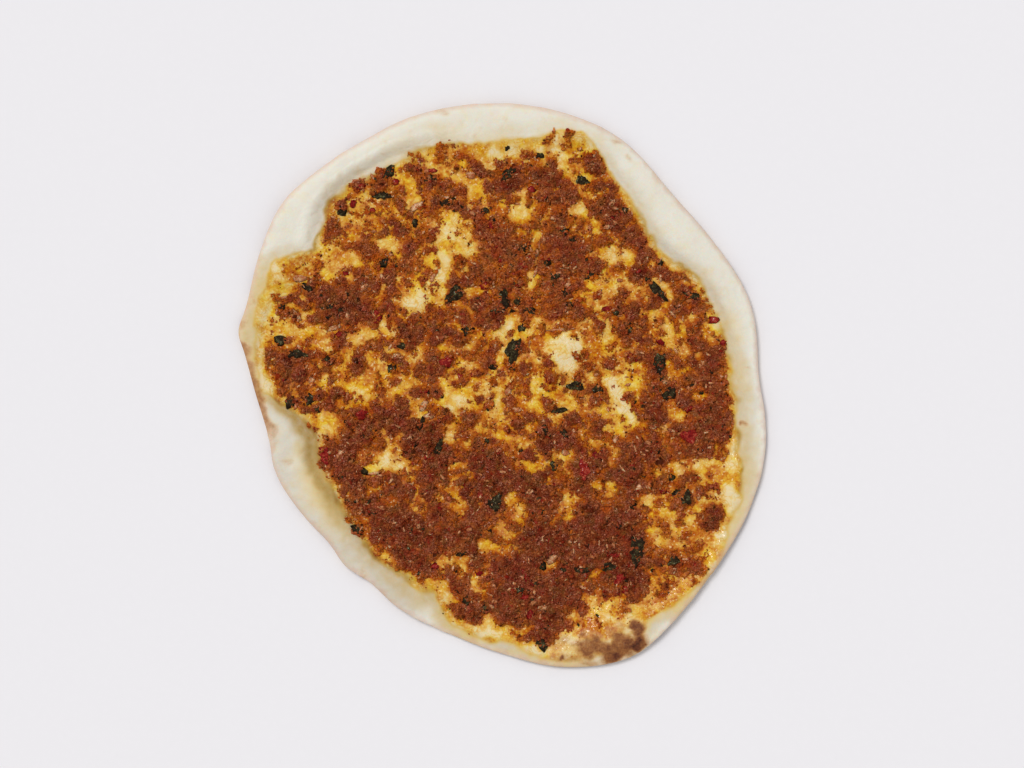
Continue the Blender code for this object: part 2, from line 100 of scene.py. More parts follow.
# %% Hang the camera over the bread
LENS = 85
SENSOR_WIDTH = 36
FIELD_WIDTH = 542.7 * MM
FIELD_CENTRE = (5.57 * MM, 0.66 * MM)
BREAD_LEVEL = 5 * MM

camera_data = bpy.data.cameras.new("overhead_camera")
camera_data.lens = LENS
camera_data.sensor_width = SENSOR_WIDTH
camera_data.dof.use_dof = False
camera = bpy.data.objects.new("overhead_camera", camera_data)
camera.location = (*FIELD_CENTRE, BREAD_LEVEL + FIELD_WIDTH * LENS / SENSOR_WIDTH)
bpy.context.scene.collection.objects.link(camera)
bpy.context.scene.camera = camera
print("camera height", round(camera.location.z, 3), "m")

# %% [markdown]
# ## Working with selections
#
# Blender's operators act on whatever is selected, so each step first says what that is. Two small
# helpers keep this readable: one picks a single piece, the other adds a primitive and names it.

# %% Helpers for picking pieces


def pick(piece):
    """Makes this piece the only selected one, and the active one."""
    bpy.ops.object.select_all(action="DESELECT")
    piece.select_set(True)
    bpy.context.view_layer.objects.active = piece


def named(name):
    """Names the primitive that was just added, and gives it back."""
    piece = bpy.context.active_object
    piece.name = name
    piece.data.name = name
    return piece


def apply_modifier(piece, kind, **settings):
    """Adds a modifier with these settings and applies it."""
    pick(piece)
    modifier = piece.modifiers.new(kind.title(), kind)
    for key, value in settings.items():
        setattr(modifier, key, value)
    bpy.ops.object.modifier_apply(modifier=modifier.name)


# %% [markdown]
# ## Colours
#
# Colours are noted as a screen shows them, from 0 to 255, because that is how one reads them off
# food. The renderer wants them in linear light, so one function converts them.

# %% Colour conversion


def seen(red, green, blue):
    """A colour as a screen shows it, in linear light, with alpha."""
    shares = [value / 255 for value in (red, green, blue)]
    linear = [s / 12.92 if s <= 0.04045 else ((s + 0.055) / 1.055) ** 2.4 for s in shares]
    return (*linear, 1)


# %% [markdown]
# ## Writing shaders as sums
#
# A finish is a formula: so much oil here, a little darker there. A small class wraps a socket, so
# that `1 - mask` or `oil * 0.5 + grain` adds the Math nodes itself. Any other node comes from `add`.

# %% A socket that takes part in arithmetic


class Wire:
    """The output of a node, which can be added, multiplied and so on."""

    def __init__(self, finish, socket):
        self.finish = finish
        self.socket = socket

    def maths(self, operation, first, second, clamp=False):
        settings = {"operation": operation, "use_clamp": clamp}
        return self.finish.add("ShaderNodeMath", settings, {0: first, 1: second})

    def __add__(self, other):
        return self.maths("ADD", self, other)

    def __sub__(self, other):
        return self.maths("SUBTRACT", self, other)

    def __rsub__(self, other):
        return self.maths("SUBTRACT", other, self)

    def __mul__(self, other):
        return self.maths("MULTIPLY", self, other)

    def __truediv__(self, other):
        return self.maths("DIVIDE", self, other)

    __radd__ = __add__
    __rmul__ = __mul__

    def unsigned(self):
        """The value without its sign."""
        return self.maths("ABSOLUTE", self, 0)

    def clamped(self):
        return self.maths("ADD", self, 0, clamp=True)

    def steep(self, low, high):
        """0 below low, 1 above high, and straight between them."""
        return ((self - low) / (high - low)).clamped()


# %% [markdown]
# The other class stands for a whole material. It opens a Principled shader, sets the numbers that are the
# same all over it, and then takes wires for what changes from place to place.

# %% A finish made of wires


class Finish:
    """A material whose nodes are added one by one."""

    def __init__(self, name, **constants):
        self.material = bpy.data.materials.new(name)
        self.material.use_nodes = True
        self.tree = self.material.node_tree
        self.shader = self.tree.nodes["Principled BSDF"]
        for key, value in constants.items():
            self.socket(key).default_value = value
        self.place = self.add("ShaderNodeTexCoord", output="Object")

    def socket(self, key):
        """The shader's socket whose name is this in small letters, with underscores for spaces."""
        return next(s for s in self.shader.inputs if s.name.lower().replace(" ", "_") == key)

    def add(self, kind, settings=None, sockets=None, output=0):
        """Adds a node with its settings, then the values or links of its sockets; gives one output."""
        node = self.tree.nodes.new(kind)
        for key, value in (settings or {}).items():
            if key == "stops":
                self.set_stops(node.color_ramp, value)
            else:
                setattr(node, key, value)
        for key, value in (sockets or {}).items():
            if isinstance(value, Wire):
                self.tree.links.new(value.socket, node.inputs[key])
            else:
                node.inputs[key].default_value = value
        return Wire(self, node.outputs[output])

    def set_stops(self, ramp, stops):
        while len(ramp.elements) < len(stops):
            ramp.elements.new(1)
        for element, (position, *colour) in zip(ramp.elements, stops):
            element.position = position
            element.color = seen(*colour)

    def attribute(self, name):
        return self.add("ShaderNodeAttribute", {"attribute_name": name}, output="Fac")

    def noise(self, size, detail=2, roughness=0.5, distortion=0):
        """Cloudy noise from 0 to 1 whose clouds are about this size, in metres."""
        sockets = {
            "Vector": self.place, "Scale": 1 / size, "Detail": detail, "Roughness": roughness,
            "Distortion": distortion,
        }
        return self.add("ShaderNodeTexNoise", None, sockets)

    def cells(self, size):
        """Softened distance to the nearest of scattered points about this far apart, in metres."""
        sockets = {"Vector": self.place, "Scale": 1 / size}
        return self.add("ShaderNodeTexVoronoi", {"feature": "SMOOTH_F1"}, sockets, "Distance")

    def blend(self, share, low, high, how="MIX"):
        """A colour between low and high."""
        settings = {"data_type": "RGBA", "blend_type": how}
        return self.add("ShaderNodeMix", settings, {0: share, 6: low, 7: high}, output=2)

    def clouded(self, colour, shade, share, size, low, high, detail=3, distortion=0):
        """The colour with a share of another shade in it, where noise runs from low to high."""
        cloud = self.noise(size, detail, distortion=distortion).steep(low, high)
        return self.blend(cloud * share, colour, shade)

    def ramp(self, share, *stops):
        """A colour that follows stops, each a position and the red, green and blue seen there."""
        return self.add("ShaderNodeValToRGB", {"stops": stops}, {"Fac": share})

    def bump(self, height, depth, strength):
        sockets = {"Height": height, "Distance": depth, "Strength": strength}
        return self.add("ShaderNodeBump", None, sockets)

    def to(self, **wires):
        """Links wires to the shader's own sockets."""
        for key, wire in wires.items():
            self.tree.links.new(wire.socket, self.socket(key))


# %% [markdown]
# ## Floor and light
#
# A pale table under soft light. Most of the light comes evenly from a white sky, as inside a tent of
# white cloth. The rest comes from one broad light far off to the upper left, which lets grains of meat
# and bubbles in the dough throw their small soft shadows, and puts sparks on the oil.

# %% Build the floor and hang the light
FLOOR_SIZE = 6
SKY_STRENGTH = 0.56
KEY_STRENGTH = 1.58
KEY_PLACE = (-0.45, 0.5, 1.25)
KEY_SPREAD = math.radians(24)

bpy.ops.mesh.primitive_plane_add(size=FLOOR_SIZE, location=(0, 0, 0))
floor = named("pale_floor")
table = Finish("pale_table", roughness=0.9, specular_ior_level=0.1)
speckle = table.noise(0.004, detail=3)
table.to(base_color=table.blend(speckle, seen(236, 234, 237), seen(238, 236, 239)))
floor.data.materials.append(table.material)


def far_light(name, place, strength, spread):
    """A light so far off that it shines alike on the whole table. Its spread makes shadows soft."""
    lamp = bpy.data.lights.new(name, "SUN")
    lamp.energy = strength
    lamp.angle = spread
    made = bpy.data.objects.new(name, lamp)
    made.location = place
    made.rotation_euler = (-Vector(place)).to_track_quat("-Z", "Y").to_euler()
    bpy.context.scene.collection.objects.link(made)


far_light("key_light", KEY_PLACE, KEY_STRENGTH, KEY_SPREAD)
sky = bpy.context.scene.world or bpy.data.worlds.new("sky")
bpy.context.scene.world = sky
sky.use_nodes = True
sky.node_tree.nodes["Background"].inputs["Color"].default_value = (1, 1, 1, 1)
sky.node_tree.nodes["Background"].inputs["Strength"].default_value = SKY_STRENGTH
bpy.context.scene.view_settings.view_transform = "Standard"
print("floor", FLOOR_SIZE, "m wide, light", KEY_STRENGTH, "and sky", SKY_STRENGTH)

# %% [markdown]
# ## Maps of the bread
#
# Oil creeps out of the meat into the dough, so the dough's colour depends on how near meat lies. That
# is easiest to work out on a map: a square grid of places half a millimetre apart, one number at
# each. Noise on such a map comes from random numbers at the corners of a coarser grid.

# %% Lay out a map
MAP_STEP = 0.5 * MM
MAP_REACH = 165 * MM
LATTICE = 256

steps = np.arange(-MAP_REACH, MAP_REACH + MAP_STEP / 2, MAP_STEP)
map_x, map_y = np.meshgrid(steps, steps)
map_angle = np.arctan2(map_y, map_x)
print("the map has", len(steps), "places on a side")

# %% Noise on the map


def eased(share):
    """Runs from 0 to 1 with level ends."""
    share = np.clip(share, 0, 1)
    return share * share * (3 - 2 * share)


def lattice_parts(x, y, span, seed):
    """The cell of a turned lattice in which each place lies, and where in it."""
    turn = 0.7 + seed
    u = (x * math.cos(turn) - y * math.sin(turn)) / span + 1000
    v = (x * math.sin(turn) + y * math.cos(turn)) / span + 1000
    return np.floor(u).astype(int), np.floor(v).astype(int), u % 1, v % 1


def clouds(x, y, span, seed):
    """Smooth noise from -1 to 1 whose clouds are this far apart."""
    lattice = np.random.default_rng(seed).uniform(-1, 1, (LATTICE, LATTICE))
    i, j, s, t = lattice_parts(x, y, span, seed)
    s, t = eased(s), eased(t)
    corner = [[lattice[(i + a) % LATTICE, (j + b) % LATTICE] for b in (0, 1)] for a in (0, 1)]
    near = corner[0][0] * (1 - t) + corner[0][1] * t
    far = corner[1][0] * (1 - t) + corner[1][1] * t
    return near * (1 - s) + far * s


def map_clouds(span, seed):
    """The same noise on the whole map, with its distance in millimetres."""
    return clouds(map_x, map_y, span * MM, seed)


def pebbles(x, y, span, seed):
    """Distances to the nearest and next of scattered points, in spans, and the nearest one's luck."""
    jitter = np.random.default_rng(seed).uniform(0, 1, (3, LATTICE, LATTICE))
    i, j, s, t = lattice_parts(x, y, span, seed)
    nearest = np.full(np.shape(x), math.inf)
    following = nearest.copy()
    luck = np.zeros(np.shape(x))
    for a in (-1, 0, 1):
        for b in (-1, 0, 1):
            shift = jitter[:, (i + a) % LATTICE, (j + b) % LATTICE]
            away = np.hypot(a + shift[0] - s, b + shift[1] - t)
            luck = np.where(away < nearest, shift[2], luck)
            following = np.minimum(following, np.maximum(nearest, away))
            nearest = np.minimum(nearest, away)
    return nearest, following, luck


# %% Soften a map and read it


def blurred(values, spread):
    """The map softened over this distance."""
    frequency = np.fft.fftfreq(len(steps), MAP_STEP)
    soften = np.exp(-2 * (math.pi * spread * frequency) ** 2)
    return np.fft.ifft2(np.fft.fft2(values) * soften[:, None] * soften[None, :]).real


def at_places(values, x, y):
    """Reads the map at these places, straight between its points."""
    u = np.clip((x + MAP_REACH) / MAP_STEP, 0, len(steps) - 1.001)
    v = np.clip((y + MAP_REACH) / MAP_STEP, 0, len(steps) - 1.001)
    i, j = v.astype(int), u.astype(int)
    s, t = v - i, u - j
    low = values[i, j] * (1 - t) + values[i, j + 1] * t
    high = values[i + 1, j] * (1 - t) + values[i + 1, j + 1] * t
    return low * (1 - s) + high * s


# %% [markdown]
# ## Reading the measured form
#
# The grid is also how the measured model is read. A ray dropped on a piece at each place gives the
# height of its upper face, and misses where the piece isn't.

# %% Heights of a piece


def heights_of(piece):
    """A map of the height of the piece's upper face, not a number where there is none."""
    data = piece.data
    data.calc_loop_triangles()
    tree = BVHTree.FromPolygons(
        [corner.co for corner in data.vertices], [face.vertices for face in data.loop_triangles]
    )
    down = Vector((0, 0, -1))
    found = np.full(map_x.shape, np.nan)
    for i, y in enumerate(steps):
        for j, x in enumerate(steps):
            hit = tree.ray_cast((x, y, 1), down)[0]
            if hit:
                found[i, j] = hit.z
    return found


def square_cm(shares):
    """The area over which a map of shares from 0 to 1 adds up."""
    return round(shares.sum() * MAP_STEP**2 * 1e4)


meat_heights = heights_of(nodes["meat_topping"])
print("meat covers", square_cm(np.isfinite(meat_heights)), "square cm")

# %% Read and move the corners of a mesh


def vectors_of(items, name):
    """Rows of x, y, z, one for each item of a mesh's list."""
    found = np.empty(3 * len(items), np.float32)
    items.foreach_get(name, found)
    return found.reshape(-1, 3).astype(float)


def points_of(piece):
    """The piece's corners as rows of x, y, z."""
    return vectors_of(piece.data.vertices, "co")


def kept_in(points):
    """The points, none of them below the table or above the top of the measured model."""
    x, y, z = points.T
    return np.column_stack((x, y, np.clip(z, 0, cad_box[1][2])))


def move_points(piece, points):
    """Moves the piece's corners to these places."""
    piece.data.vertices.foreach_set("co", kept_in(points).astype(np.float32).ravel())
    piece.data.update()


def normals_of(piece):
    """The directions in which the skin faces at the piece's corners."""
    return vectors_of(piece.data.vertex_normals, "vector")


def note(piece, name, values):
    """Stores one number for each corner under this name, for the piece's finish to read."""
    stored = piece.data.attributes.new(name, "FLOAT", "POINT")
    stored.data.foreach_set("value", values.astype(np.float32))


# %% [markdown]
# ## The outer edge
#
# Several finishes change towards the rim. The measured dough gives the distance from the middle to the
# edge in every direction, and a place is then known by its share of that distance.

# %% Share of the way to the edge
SECTOR = 2.2


def edge_reach():
    """Distance from the middle to the edge of the dough, for each degree."""
    corners = points_of(nodes["bread"])
    distance = np.hypot(corners[:, 0], corners[:, 1])
    angle = np.degrees(np.arctan2(corners[:, 1], corners[:, 0]))
    away = [np.abs((angle - degree + 180) % 360 - 180) for degree in range(360)]
    return np.array([distance[near < SECTOR].max() for near in away])


edge_radii = edge_reach()


def edge_at(angle):
    """Distance from the middle to the edge in this direction."""
    return np.interp(np.degrees(angle) % 360, np.arange(360), edge_radii, period=360)


map_distance = np.hypot(map_x, map_y)
to_edge = edge_at(map_angle) - map_distance
print("edge from", round(edge_radii.min() / MM), "to", round(edge_radii.max() / MM), "mm")

# %% [markdown]
# ## Where the meat lies
#
# The cook drops the mince in the middle and drags it outwards with the fingers, so it is patchy: the
# dough bulges through in pale domes and channels. Each opening is listed as an oval, with its place,
# half length, half width, direction and how bare its middle is. Around an opening the mince thins out
# over several millimetres, and where openings crowd together only oily crumbs are left.

# %% Openings in the meat
OPENINGS = (
    (-27.3, 84, 9.5, 5.2, 60, 0.95), (-25, 74.5, 7, 5, 20, 0.95), (-33, 63, 11, 3.6, 85, 0.95),
    (-46, 44, 8, 5, 25, 1), (-60, 76.5, 7, 4, -10, 1), (-86.5, 67.5, 8, 5.4, -10, 0.97),
    (-76, 63, 4, 3, 60, 0.8), (-91, 88.5, 5, 2.6, 0, 0.75), (-85, 57, 8, 4, 0, 0.85),
    (-79, 79, 6, 5, 60, 0.7), (-65.5, 90, 7, 4, 15, 0.95), (-90, 60, 8, 5, 20, 0.95),
    (-36, 86, 3, 7, 0, 0.85), (-49, 107, 8, 3.6, 110, 0.95), (-47, 98.5, 5, 3.4, 60, 0.85),
    (-31, 117.5, 7, 4.4, -5, 1.3), (-25.5, 114, 4, 3, 60, 0.6), (-14, 101.5, 8, 4.4, -40, 1.1),
    (-12, 106, 6, 4, 60, 0.6), (-116, 53.5, 9, 3.6, 20, 0.95), (-103, 34, 3.4, 9, 15, 0.85),
    (-112, 29.5, 9, 4.4, 5, 1), (-74, 26.5, 9, 3.8, 5, 1.05), (-97, 22, 10, 3.8, 5, 0.95),
    (-96, 32, 4, 2.4, 60, 0.65), (-85, 32, 3.4, 6, -20, 0.6), (-110, 21, 6, 2.4, 0, 0.65),
    (-107, -3, 9, 2.4, 0, 0.6), (-82, 15, 4.6, 4.6, 60, 1), (-67, 13, 4.4, 8, 0, 1.05),
    (-74, -3, 10, 4.6, -10, 0.92), (-96, 3, 8, 4, 20, 0.85), (-63, 48, 3, 8, 15, 0.9),
    (-47, 16.5, 8, 4, 35, 0.95), (-93, -20, 9, 6.4, 40, 1.15), (-80, -13, 7, 3, 20, 0.65),
    (-60, -10, 11, 2.8, 5, 0.65), (-42, -13.5, 6, 5, 0, 0.85), (-26, -8.5, 6.5, 5.4, 100, 0.95),
    (-28, -7.5, 4.6, 4.4, 0, 1.2), (-15, -2, 3.6, 4.4, 0, 0.9), (-13, 3.5, 10, 4, -20, 0.93),
    (-25.5, -24.5, 7, 4, 80, 0.95), (-20, -31, 7, 3, -30, 0.7), (-30, 3, 6, 3, -20, 0.8),
    (-12, -24, 5, 3.4, 30, 0.7), (-63, -36, 5, 3.8, 60, 1.05), (-58, -44, 7, 3, 10, 0.88),
    (-59, -27, 5, 3, 0, 0.8), (-71, -38, 4, 2.4, 30, 0.75), (-68.5, -46, 5, 2.2, 10, 0.8),
    (-62.5, -61.5, 5, 3.6, -20, 0.75), (-46, -44.5, 4, 6, 0, 0.85), (-42, -61, 4, 9, 5, 0.8),
    (-22.5, -44, 3.6, 3.4, 0, 1), (-25, -57, 4, 5, 0, 1), (-23.5, -63.5, 6, 3.4, 15, 0.85),
    (-71, -77, 3, 6.4, 15, 0.85), (-69, -85, 8, 3, -60, 0.85), (-58, -92, 7, 3.4, 0, 0.7),
    (-31.5, -93.5, 5, 3, 70, 0.8), (-5.5, -86, 8, 4, -20, 0.95), (0, -74, 8, 4.4, 0, 0.8),
    (-18, -95, 6, 3.6, 120, 0.9), (-13, -104.5, 5, 3.4, 110, 0.85), (-30, 19, 6, 2.8, 0, 0.8),
    (-30, -109.5, 8, 4.6, -35, 0.98), (-9, -126, 5, 4.4, 20, 0.95), (12, -130, 9, 3, -10, 0.75),
    (7, -68, 5, 7, -20, 0.95), (10, 92, 5.4, 4.6, 0, 1), (15.5, 98.5, 4, 3, 60, 0.7),
    (42, 91, 7, 3.4, -70, 0.85), (50, 83, 6, 3.6, 40, 0.75), (36, 115.5, 7, 4.6, 10, 1),
    (45, 109.5, 5, 2.6, 0, 0.75), (58, 103, 7, 2.6, 70, 0.5), (13, 100, 5, 4, 60, 0.85),
    (56, 71.5, 7, 3.8, -25, 1), (68.5, 69, 4.4, 4.4, 0, 0.85), (56, 52, 9, 6.2, 10, 0.9),
    (70, 51, 5, 4.4, 0, 0.75), (87, 44, 9, 3.6, 50, 1), (104, 55, 7, 3.4, -50, 0.75),
    (86.5, 53.5, 5.4, 4, -40, 0.92), (7, 87, 5, 3.4, -20, 0.95), (20, 78, 4, 9, 10, 0.75),
    (15.5, 57.5, 4.2, 5.6, 10, 1), (18.5, 66, 10, 2.6, 82, 1), (-52, 52.5, 6, 3, -20, 1),
    (2, 58, 6, 3.6, 0, 0.7), (3, 34.5, 7, 4, 10, 0.9), (-18, 72.5, 5, 4.4, 0, 0.9),
    (44, 47, 7, 4, -30, 0.75), (46, 22, 4.6, 6, 20, 1.2), (24, 45, 5, 3, 0, 0.5),
    (-17, 50, 5, 3.6, 0, 0.75), (-32, 50.5, 4, 3.4, 60, 0.85), (-63.5, 33, 3.6, 8, -5, 1.05),
    (-12.5, 24, 6.5, 4.4, 20, 0.7), (-16.5, 18, 3.4, 7, 0, 0.85), (1.5, 29.5, 7, 4.4, 30, 0.95),
    (4, 16, 4, 6, 20, 0.6), (32, 29, 8, 1.6, 5, 0.7), (34, 18, 9, 8.4, 100, 1.15),
    (31, 25, 5, 4.4, 0, 1.05), (36.5, 9, 5, 4.6, 60, 1), (20, 23, 7, 5, 60, 0.9),
    (17, 12, 3.8, 9, -5, 1), (15.5, 32, 4, 3.4, 60, 0.7), (49, 33.5, 7, 2.2, -45, 0.65),
    (59, 26, 4, 8, 0, 0.88), (56, 14, 5, 3, 30, 0.45), (72, 38, 7, 2.6, 20, 0.65),
    (70, 24, 5, 2.6, -40, 0.6), (90, 30, 4, 9, 25, 0.9), (99, 19, 6, 3.6, -45, 0.85),
    (115, 30, 5, 7, 10, 1.15), (104, 14, 5, 3, -30, 0.65), (88, 11, 6, 3.4, 10, 0.7),
    (107, 52, 3, 6, 30, 0.6), (72, 12, 3.2, 7, -15, 0.95), (94, 5, 6, 4, 0, 0.5),
    (17.5, 1, 3.6, 6, -5, 1.15), (17, -10, 4.4, 6.4, 0, 1.15), (14, -22, 3.2, 9, 0, 0.8),
    (31, -7, 8, 4.2, -60, 0.95), (50, -30, 5, 3.4, 0, 0.85), (48.5, 4.8, 6, 3, 5, 1),
    (60, 6.5, 7, 5, 30, 0.9), (61, -6, 4.4, 8, 12, 1.15), (64, 0, 4, 5, 0, 1),
    (66, -13.5, 5.4, 4.6, -50, 1.05), (74, -3, 6, 3, -10, 0.75), (71, -19, 10, 4.4, -35, 1),
    (60, -18, 4.4, 2.4, 0, 0.85), (49, -12.5, 4, 3.4, 0, 0.9), (93, -16.5, 6, 4.4, -50, 1),
    (105, -5.5, 4, 3.4, 0, 0.88), (93, -33, 4, 3, 0, 0.8), (55, -35.5, 9, 3, -50, 0.85),
    (34, -37.5, 4, 2.6, 0, 1), (10.5, -26.5, 6, 3.8, 0, 1), (1, -28, 9, 3.2, 0, 0.88),
    (-1, -17, 5, 3.4, 10, 0.85), (14, -41.5, 5, 4.4, -60, 1), (26, -52, 5, 3.4, -40, 0.6),
    (109.5, 31, 9, 3.4, -30, 0.95), (7.5, -62, 5, 3, -40, 0.8), (36.5, -58, 3, 5.4, 0, 0.8),
    (33, -68, 6, 5, 20, 0.55), (48, -52, 8, 3, 0, 0.6), (57, -54.5, 3.4, 6, 0, 0.92),
    (90, -46, 8, 3.4, 10, 0.92), (76, -38, 6, 2.4, -60, 0.6), (108, -43, 7, 5.6, 10, 1.15),
    (115, -48.5, 6, 4, 0, 0.88), (108, -63, 5, 4.6, 0, 0.9), (87, -69, 7, 4, -15, 0.92),
    (81, -76, 5, 4, 0, 0.85), (91, -82.5, 6, 4.6, 10, 0.92), (103, -76, 9, 4.4, -35, 0.88),
    (84, -90, 4, 4, 0, 0.6), (112, -83.5, 7, 4.6, -50, 0.95), (27, -94, 5, 3.4, 30, 1),
    (50, -100, 5, 2.6, 0, 0.8), (84, -104, 6, 3.4, 20, 0.85), (50.5, -112.5, 5.4, 3, 0, 0.85),
    (63, -114, 4.4, 5, 0, 0.88), (54, -121, 14, 7.6, 10, 0.66), (38, -125, 4, 6, 0, 0.85),
    (50, -127, 7, 4, 30, 0.85), (-80, 91, 7, 3, 20, 0.8), (-49.5, 3, 6.4, 4.4, 10, 0.9),
    (-31.5, 73, 4.6, 12, 0, 1.15), (-54, 111, 3, 7, 0, 0.85), (-50, -39, 6, 3, 0, 0.85),
    (-8.5, -16, 5, 3, 0, 0.85), (17.5, -46, 4.4, 3.6, 0, 0.95), (80, -61, 4.4, 3.6, 0, 0.9),
    (95, -77, 5, 3.6, 0, 0.95), (17, 92, 5, 4, 0, 0.75), (-82, 67, 6, 7, 0, 0.95),
    (-24, 32, 7, 4, -30, 0.85), (-68, 25, 4, 5, -40, 0.9), (-70, 2, 4, 6, -20, 0.95),
    (-100, -19, 5, 5, 30, 1), (-80, 28, 5, 4, 0, 1), (-40, 93, 9, 2.8, 10, 0.8),
    (-73, 101, 4, 3.6, 0, 0.9), (-60, 81, 6, 3, -20, 0.9), (-94, 67, 4, 3, 0, 0.95),
    (-121, 52, 4, 5, 0, 0.9), (83, 37, 4, 5, 50, 0.95), (98, 16, 3, 5, 0, 0.9),
    (60, -13, 3.6, 5, 10, 1.1), (9, 57, 6, 3, 0, 0.85), (38, -19, 3, 4, 0, 0.9),
    (-38, 67, 7, 3.4, 0, 1), (-2, 1, 4, 3, 0, 0.95), (57, -36, 5, 3, 0, 0.95),
)

# %% Islands in the openings
# Lumps and tongues of mince inside the openings, in the same way, with how solid their middle is
ISLANDS = (
    (-75, 11.4, 4.4, 3.8, 0, 1), (-88, 84, 5, 2.4, 10, 0.8), (-94, 77, 3, 2, 0, 0.75),
    (-27.5, 81, 2, 4, 0, 0.4), (112.6, -68, 6, 5, 60, 1), (97, -95, 9, 7, 30, 1),
    (45, -124.5, 3.6, 3, 0, 0.5), (45, -132, 4, 2, 0, 0.8), (68, -121, 2.4, 2.4, 0, 0.7),
    (-7, -20, 6, 2.4, 10, 0.8), (-17, -16, 5, 5, 0, 0.95), (46.4, 117, 4.6, 4.4, 0, 1),
    (56, -116, 3.6, 2, 0, 0.5), (75, 17, 4, 3, 0, 0.8), (-36, 121, 9, 3, -10, 0.5),
    (-92, 84, 5, 5, 0, 0.9), (-71, 72, 4.6, 8, 0, 0.95), (-43, 56, 4.4, 3, 0, 0.7),
    (-116, 42, 7, 6, 0, 1), (-30, -15, 5, 3, 0, 0.8), (-88, -5, 5, 4, 0, 0.8), (68, 90, 4.4, 9, 20, 1),
    (24, 4, 3.6, 4, 0, 0.8), (42, 13, 3.4, 5, 0, 0.8), (52, -19, 4, 3, 0, 0.8), (97, -50, 6, 4.4, 0, 1),
    (98, -68, 5.4, 4.6, 0, 1), (107, -95, 7, 6, 0, 1), (8, 119, 14, 5, 0, 1), (-50, 30, 6, 5, 0, 0.8),
    (-61, 2, 5, 3, 0, 0.6), (-42, 9, 5, 4, 0, 0.8), (-85, -29, 6, 5, 0, 0.75),
    (-56, -33, 4, 3.6, 0, 0.8), (44, 32, 4, 2.6, 0, 0.6), (-19, 93, 4, 6, 0, 0.8),
    (7, 4, 3.6, 4, 0, 0.8), (-3, -8, 5, 3, 0, 0.6), (-37, -53, 3, 4, 0, 0.8),
    (-44, -101, 7, 4.6, 0, 0.95), (-27, -103, 8, 3, 0, 0.7), (1, -94, 3, 6, 0, 0.6),
    (-72, -55, 4, 6, 0, 0.6), (-31, 40, 7, 5, 0, 0.95), (-86, 96, 4.4, 4, 0, 0.85),
    (-43, 114, 5, 8, 0, 0.95), (-60, 94, 8, 4, -15, 0.9), (-2, 102, 3, 8, 0, 0.85),
    (-53, 9, 5.4, 4.4, 0, 0.95), (-59, 16, 4.4, 4.4, 0, 1), (28, 2, 8, 4.4, 0, 1),
    (73, -14, 3.6, 6, 0, 1), (77, 50, 3.4, 5, 0, 1), (67, 42, 5, 6, 0, 0.95), (-80, -74, 4.4, 9, 15, 1),
    (-84, -55, 6, 6, 0, 0.9), (67, -117, 10, 5, 20, 0.8), (-77, 90, 4, 3.4, 0, 0.8),
    (-96, 76, 3, 5, 0, 0.7), (-48, -5, 5, 4, 0, 0.7), (15, -38, 9, 4, 0, 0.8), (-49, -50, 3, 6, 0, 0.8),
    (88, -60, 6, 4, 0, 0.95), (75, -65, 5, 4, 0, 0.8), (45, 101, 4, 6, 0, 0.7),
    (-99, 38, 5, 6, -20, 0.8), (-92, 17, 5, 3, 0, 0.8), (-106, -12, 8, 3.4, 0, 0.95),
    (-74, -9, 4, 3, 0, 0.8), (-70, -44, 4, 3, 0, 0.7), (86, -24, 3, 4, 0, 0.8), (44, -22, 4, 6, 0, 0.8),
    (51, -36, 6, 4, 30, 0.7), (-47, -64, 6, 5, 0, 0.7), (-91, -50, 4, 8, 30, 0.8),
    (30, -18, 4, 4, 0, 0.7),
)


print("openings", len(OPENINGS), "and islands in them", len(ISLANDS))

# %% Measure from an oval


def oval_distance(x, y, oval):
    """Distance from the border of an oval, below zero inside it."""
    middle_x, middle_y, half_length, half_width, degrees = oval
    cos, sin = math.cos(math.radians(degrees)), math.sin(math.radians(degrees))
    away_x, away_y = x - middle_x * MM, y - middle_y * MM
    along = (away_x * cos + away_y * sin) / (half_length * MM)
    across = (away_y * cos - away_x * sin) / (half_width * MM)
    return (np.hypot(along, across) - 1) * min(half_length, half_width) * MM


def in_oval(x, y, oval, fade):
    """1 inside an oval and 0 outside, over a border this many millimetres wide."""
    return eased(0.5 - oval_distance(x, y, oval) / (fade * MM))


# %% [markdown]
# The outer border comes from the measured meat, as the furthest place in each direction where there is
# any. The finished meat stops a little short of it in most directions, because the border is ragged,
# and spills over it in a few places. Then the ovals are drawn with wandering borders.

# %% The border of the meat
# Clumps and crumbs that lie past the border, in the same way
SPILLS = (
    (54, -121, 17, 9, 10, 0.5), (30, 129, 17, 6, 8, 0.25), (-110, 57, 16, 6, 30, 0.4),
    (108, -42, 8, 8, 0, 0.4), (95, -78, 16, 6, -25, 0.4), (-5, -127, 14, 4, -10, 0.3),
    (86, -105, 19, 8, 35, 0.45), (-76, 105, 8, 4, 28, 0.6), (-76, -77, 6, 4, -45, 0.6),
    (102, -93, 11, 8, -30, 1), (-116, 42, 7, 5, 0, 0.9), (-28, 126, 8, 4, -5, 0.85),
    (36, 128, 4, 6, -10, 0.9), (118, -32, 4.6, 7, 0, 0.95), (-46, 119, 6, 3.6, 20, 0.8),
    (-66, 111, 7, 3, 35, 0.8), (1, 116, 6, 3, 0, 0.75), (19, 120, 8, 2.6, 0, 0.75),
    (-46, -101, 6, 2.6, -20, 0.7), (-79, -75, 3, 7, 15, 0.7), (50, 120, 4, 4, -20, 0.7),
)
